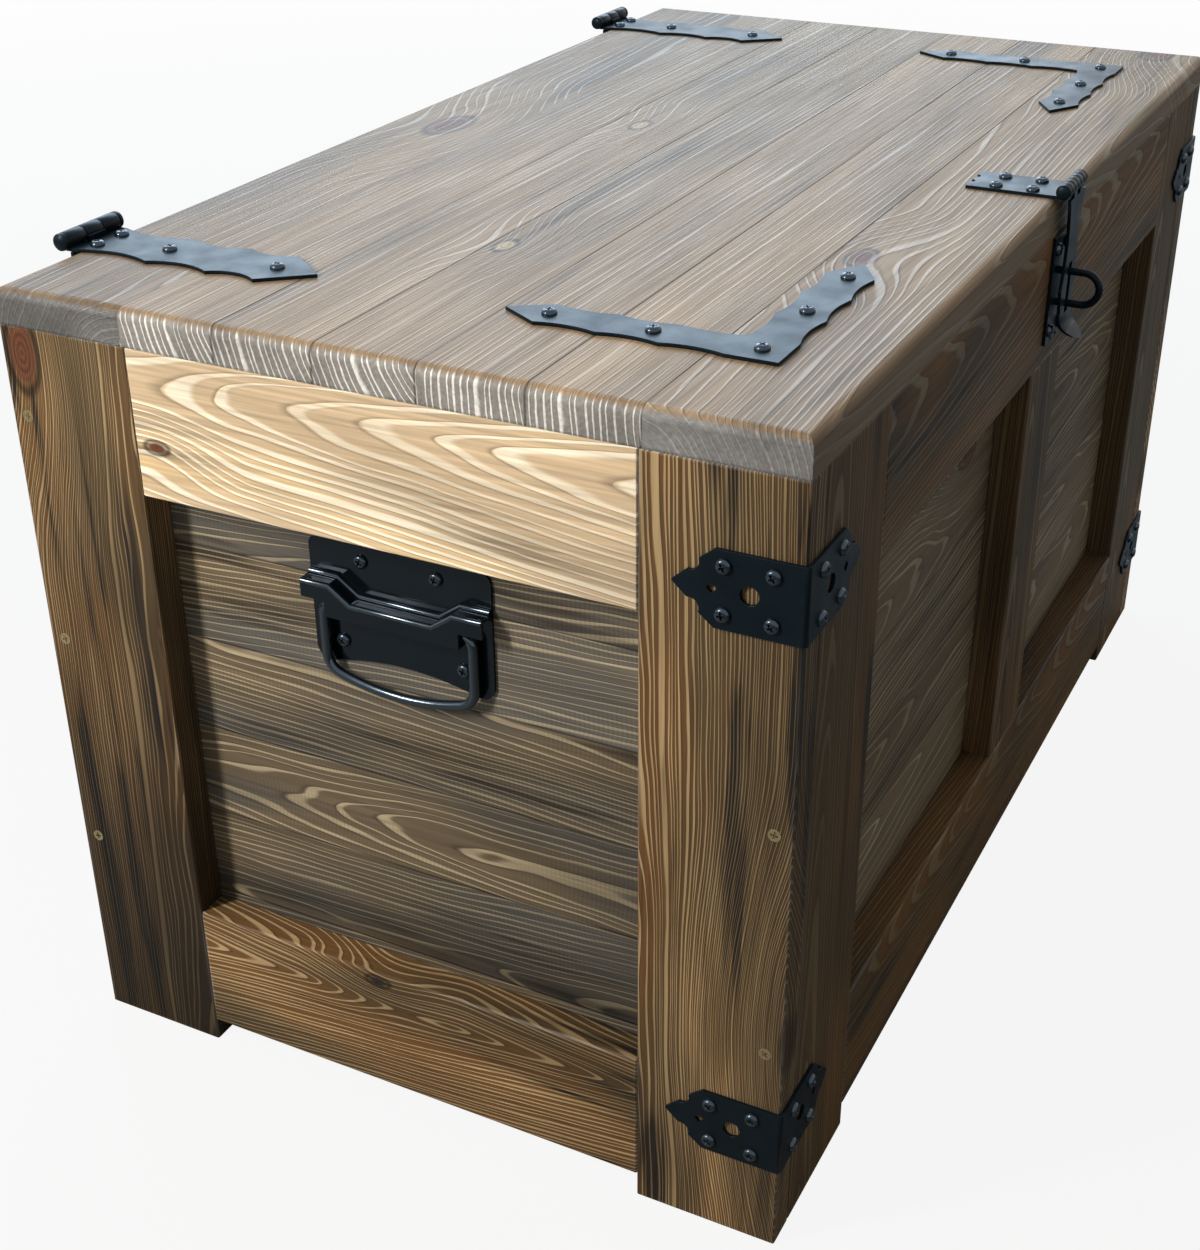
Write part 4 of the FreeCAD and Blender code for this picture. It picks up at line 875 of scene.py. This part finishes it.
class CHEST_OT_wires(bpy.types.Operator):
    """Draws the two bails, the staple and the bends of the hoods as round wire"""
    bl_idname = "chest.wires"
    bl_label = "Bails and staple"

    def execute(self, context):
        wire_tree()
        gloss = coated_steel("gloss_coated_wire", context.scene.chest_steel.gloss, 0.16, 1.0, 0.1)
        for side in SIDES:
            pivot = self.bail(side, gloss)
            self.bends(side, pivot, gloss)
        self.staple()
        return {"FINISHED"}

    def bail(self, side, gloss):
        """A handle's wire: two turned-in ends, two corners and a bowed grip; gives its pivot."""
        turn_in, bend, corner, bow = 18 * MM, 6 * MM, 11 * MM, 125 * MM
        low, high = (Vector(c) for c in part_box(f"{side}_bail"))
        wire = wire_radius(low, high)
        half = high.y - wire
        pivot = Vector(((low.x + high.x) / 2, 0, high.z - wire))
        bow_z = bow - (pivot.z - low.z - wire)
        corner_z = bow_z - math.sqrt((bow - corner) ** 2 - (half - corner) ** 2)
        lean = math.degrees(math.atan2(half - corner, bow_z - corner_z))
        near = [Vector((0, turn_in, 0)), *arc(Vector((0, half - bend, -bend)), bend, 90, 0, 10),
                *arc(Vector((0, half - corner, corner_z)), corner, 0, lean - 90, 6)]
        grip = arc(Vector((0, 0, bow_z)), bow, lean - 90, -90 - lean, 2)[1:-1]
        path = [*near, *grip, *(Vector((0, -p.y, p.z)) for p in reversed(near))]
        piece = drawn(f"{side}_round_bail", [pivot + p for p in path], wire, gloss)
        held_by(piece, f"{side}_bail", f"{side}_bail")
        return pivot

    def bends(self, side, pivot, gloss):
        """The two pressed bends of a hood: its root on the plate, and its front edge."""
        low, high = (Vector(c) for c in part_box(f"{side}_handle_plate"))
        out = -1 if side == "left" else 1
        front, back = (low.x, high.x) if side == "left" else (high.x, low.x)
        shoulder, dip, bend, sheet, inset = 14 * MM, 5.0 * MM, 1.6 * MM, 1.6 * MM, 0.4 * MM
        slope_top, slope_foot = 37 * MM, 24.5 * MM
        root, edge = 0.6 * bend, 0.62 * bend
        line = [(high.y - inset, shoulder), (slope_top, shoulder), (slope_foot, dip)]
        line += [(-y, z) for y, z in reversed(line)]
        for name, x, lift in (("root", back + out * (sheet + root), root),
                              ("edge", front - out * edge, -edge)):
            path = [Vector((x, y, pivot.z + z + lift)) for y, z in line]
            held_by(drawn(f"{side}_hood_{name}_bend", path, bend, gloss), "carcass")

    def staple(self):
        """The staple: two straight legs and a round nose."""
        satin = bpy.data.materials["satin_powder_coated_steel"]
        low, high = (Vector(c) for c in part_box("staple"))
        wire = wire_radius(low, high)
        bend = (high.z - low.z) / 2 - wire
        middle = (low.z + high.z) / 2
        nose = Vector((0, low.y + wire + bend, middle))
        path = [Vector((0, high.y, middle + bend)), *arc(nose, bend, 90, 270, 6),
                Vector((0, high.y, middle - bend))]
        held_by(drawn("round_staple", path, wire, satin), "carcass", "staple")


class CHEST_OT_screws(bpy.types.Operator):
    """Puts a cross-recess screw on each seat of the solids' screws"""
    bl_idname = "chest.screws"
    bl_label = "Screws"

    def execute(self, context):
        black = coated_steel("black_passivated_steel", context.scene.chest_steel.coat, 0.22, 0.9)
        # A pan head 8 mm across and a countersunk head 7 mm across; a seat is the top of its head
        pan = cross_head("pan_head_pattern", (
            (0, -2.4), (4.0, -2.4), (4.0, -1.7), (3.7, -1.0), (3.2, -0.45), (2.7, -0.12)), -0.02)
        flat = cross_head("countersunk_pattern", (
            (0, -2.4), (1.8, -2.4), (3.5, -0.1), (3.4, 0.12), (2.9, 0.12)), 0.08)
        steel, zinc = (black, "black_coated_steel"), (plated_zinc(), "zinc_plated_steel")
        on_carcass = ("bracket_screws", "hinge_leaf_screws", "staple_screws", "handle_screws")
        for name, body, nodes, head, (finish, slot), seed in (
                ("lid_round_screws", "lid", ("lid_screws",), pan, steel, 3),
                ("carcass_round_screws", "carcass", on_carcass, pan, steel, 4),
                ("frame_round_screws", "carcass", ("frame_screws",), flat, zinc, 7)):
            points, ways = zip(*(seat for node in nodes for seat in screw_seats(node)))
            piece = seated(name, head, finish, points, ways, math.pi, seed)
            held_by(piece, body, *nodes, slot=slot)
        drop(pan)
        drop(flat)
        return {"FINISHED"}


class CHEST_OT_stage(bpy.types.Operator):
    """Sets the floor, the lamps, the white surround and the camera"""
    bl_idname = "chest.stage"
    bl_label = "Stage"

    def execute(self, context):
        stage = context.scene.chest_stage
        context.scene.view_settings.view_transform = "Standard"
        self.floor(stage)
        self.lamps(stage)
        self.surround(stage)
        context.scene.camera = self.camera(stage)
        return {"FINISHED"}

    def camera(self, stage):
        """The camera at the eye, looking along yaw and pitch and leaning by the roll."""
        ahead = Vector((math.cos(stage.yaw) * math.cos(stage.pitch),
                        math.sin(stage.yaw) * math.cos(stage.pitch), -math.sin(stage.pitch)))
        level = ahead.cross(Z).normalized()
        rise = level.cross(ahead)
        c, s = math.cos(stage.roll), math.sin(stage.roll)
        right, up = c * level + s * rise, c * rise - s * level
        camera = bpy.data.cameras.new("camera")
        camera.lens, camera.sensor_width, camera.sensor_fit = stage.lens, 36, "AUTO"
        holder = placed("camera", camera)
        turn = Matrix((right, up, -ahead)).transposed().to_4x4()
        holder.matrix_world = Matrix.Translation(stage.eye) @ turn
        return holder

    def floor(self, stage):
        """A pale matt floor: white to the eye far off, with the chest's shadow near by."""
        half_size, cloud_size, near, far = 30, 330 * MM, 0.8, 4.0
        shape = bmesh.new()
        bmesh.ops.create_grid(shape, x_segments=1, y_segments=1, size=half_size)
        ground = finished("floor", shape)
        material, put, shader = new_material("pale_matt_floor")
        place = put(PLACE, out="Object")
        cloud = put(NOISE, {"Vector": place, "Scale": 1 / cloud_size, "Detail": 3})
        darker = [0.97 * c for c in stage.floor]
        shades = {SHARE: cloud, FROM: (*stage.floor, 1), TO: (*darker, 1)}
        feed(shader, {
            "Base Color": put(MIX, shades, **COLOURS), "Roughness": 0.9, "Specular IOR Level": 0.1})
        white = put("ShaderNodeEmission", {"Color": (1, 1, 1, 1), "Strength": 1})
        seen = put("ShaderNodeLightPath", out="Is Camera Ray")
        distance = put(VECTORS, (place,), "LENGTH", out="Value")
        share = put(RANGE, (distance, near, far, 0.9, 1.0), **SMOOTH)
        share = put(MATH, (seen, share), "MULTIPLY")
        both = put("ShaderNodeMixShader", (share, shader.outputs[0], white))
        feed(material.node_tree.nodes["Material Output"], {"Surface": both})
        ground.data.materials.append(material)

    def lamps(self, stage):
        """A strip of light over the left end, and a cool window behind that sheens on the lid."""
        for name, at, to, size, watts, tint in (
                ("key", (-1.4, 0.77, 1.15), (-0.4, 0, 0.3), (0.2, 0.6), stage.key, stage.bulb),
                ("window", (1.95, 1.45, 1.75), (0.13, -0.15, 0.47), (3.0, 1.5), stage.window,
                 stage.sky)):
            lamp = bpy.data.lights.new(name, "AREA")
            lamp.shape, lamp.size, lamp.size_y = "RECTANGLE", *size
            lamp.energy, lamp.color = watts, tint
            holder = placed(name, lamp)
            holder.location = at
            holder.visible_camera = False
            aim = Vector(to) - Vector(at)
            holder.rotation_euler = aim.to_track_quat("-Z", "Y").to_euler()

    def surround(self, stage):
        """An even white world: white to the eye and in reflections, softer as light."""
        world = bpy.data.worlds.new("white_surround")
        bpy.context.scene.world = world
        world.use_nodes = True
        tree = world.node_tree
        path = add(tree, "ShaderNodeLightPath").node.outputs
        seen = path["Is Camera Ray"]
        for other in ("Is Glossy Ray", "Is Transmission Ray"):
            seen = add(tree, MATH, (seen, path[other]), "MAXIMUM")
        strength = add(tree, RANGE, (seen, 0, 1, stage.fill, 1.0))
        feed(tree.nodes["Background"], {"Color": (1, 1, 1, 1), "Strength": strength})


class CHEST_PT_sidebar(bpy.types.Panel):
    """Lists the steps that dress the chest, and their sizes and colours"""
    bl_label = "Chest"
    bl_idname = "CHEST_PT_sidebar"
    bl_space_type = "VIEW_3D"
    bl_region_type = "UI"
    bl_category = "Chest"

    def draw(self, context):
        for step in STEPS:
            self.layout.operator(step.bl_idname)
        for name, group in SETTINGS.items():
            box = self.layout.box()
            for field in group.__annotations__:
                box.prop(getattr(context.scene, name), field)


SETTINGS = {"chest_pine": PineSettings, "chest_steel": SteelSettings, "chest_stage": StageSettings}
STEPS = (CHEST_OT_frame_boards, CHEST_OT_panels, CHEST_OT_lid, CHEST_OT_steel_sheet,
         CHEST_OT_knuckles, CHEST_OT_wires, CHEST_OT_screws, CHEST_OT_stage)
CLASSES = (*SETTINGS.values(), *STEPS, CHEST_PT_sidebar)


def register():
    """Adds the classes, and the settings to every scene."""
    for kind in CLASSES:
        bpy.utils.register_class(kind)
    for name, group in SETTINGS.items():
        setattr(bpy.types.Scene, name, bpy.props.PointerProperty(type=group))


def unregister():
    """Takes away what register added."""
    for name in SETTINGS:
        delattr(bpy.types.Scene, name)
    for kind in reversed(CLASSES):
        bpy.utils.unregister_class(kind)


def main():
    """Registers the add-on and dresses the chest step by step."""
    register()
    bpy.ops.chest.frame_boards()
    bpy.ops.chest.panels()
    bpy.ops.chest.lid()
    bpy.ops.chest.steel_sheet()
    bpy.ops.chest.knuckles()
    bpy.ops.chest.wires()
    bpy.ops.chest.screws()
    bpy.ops.chest.stage()


if __name__ == "__main__":
    main()
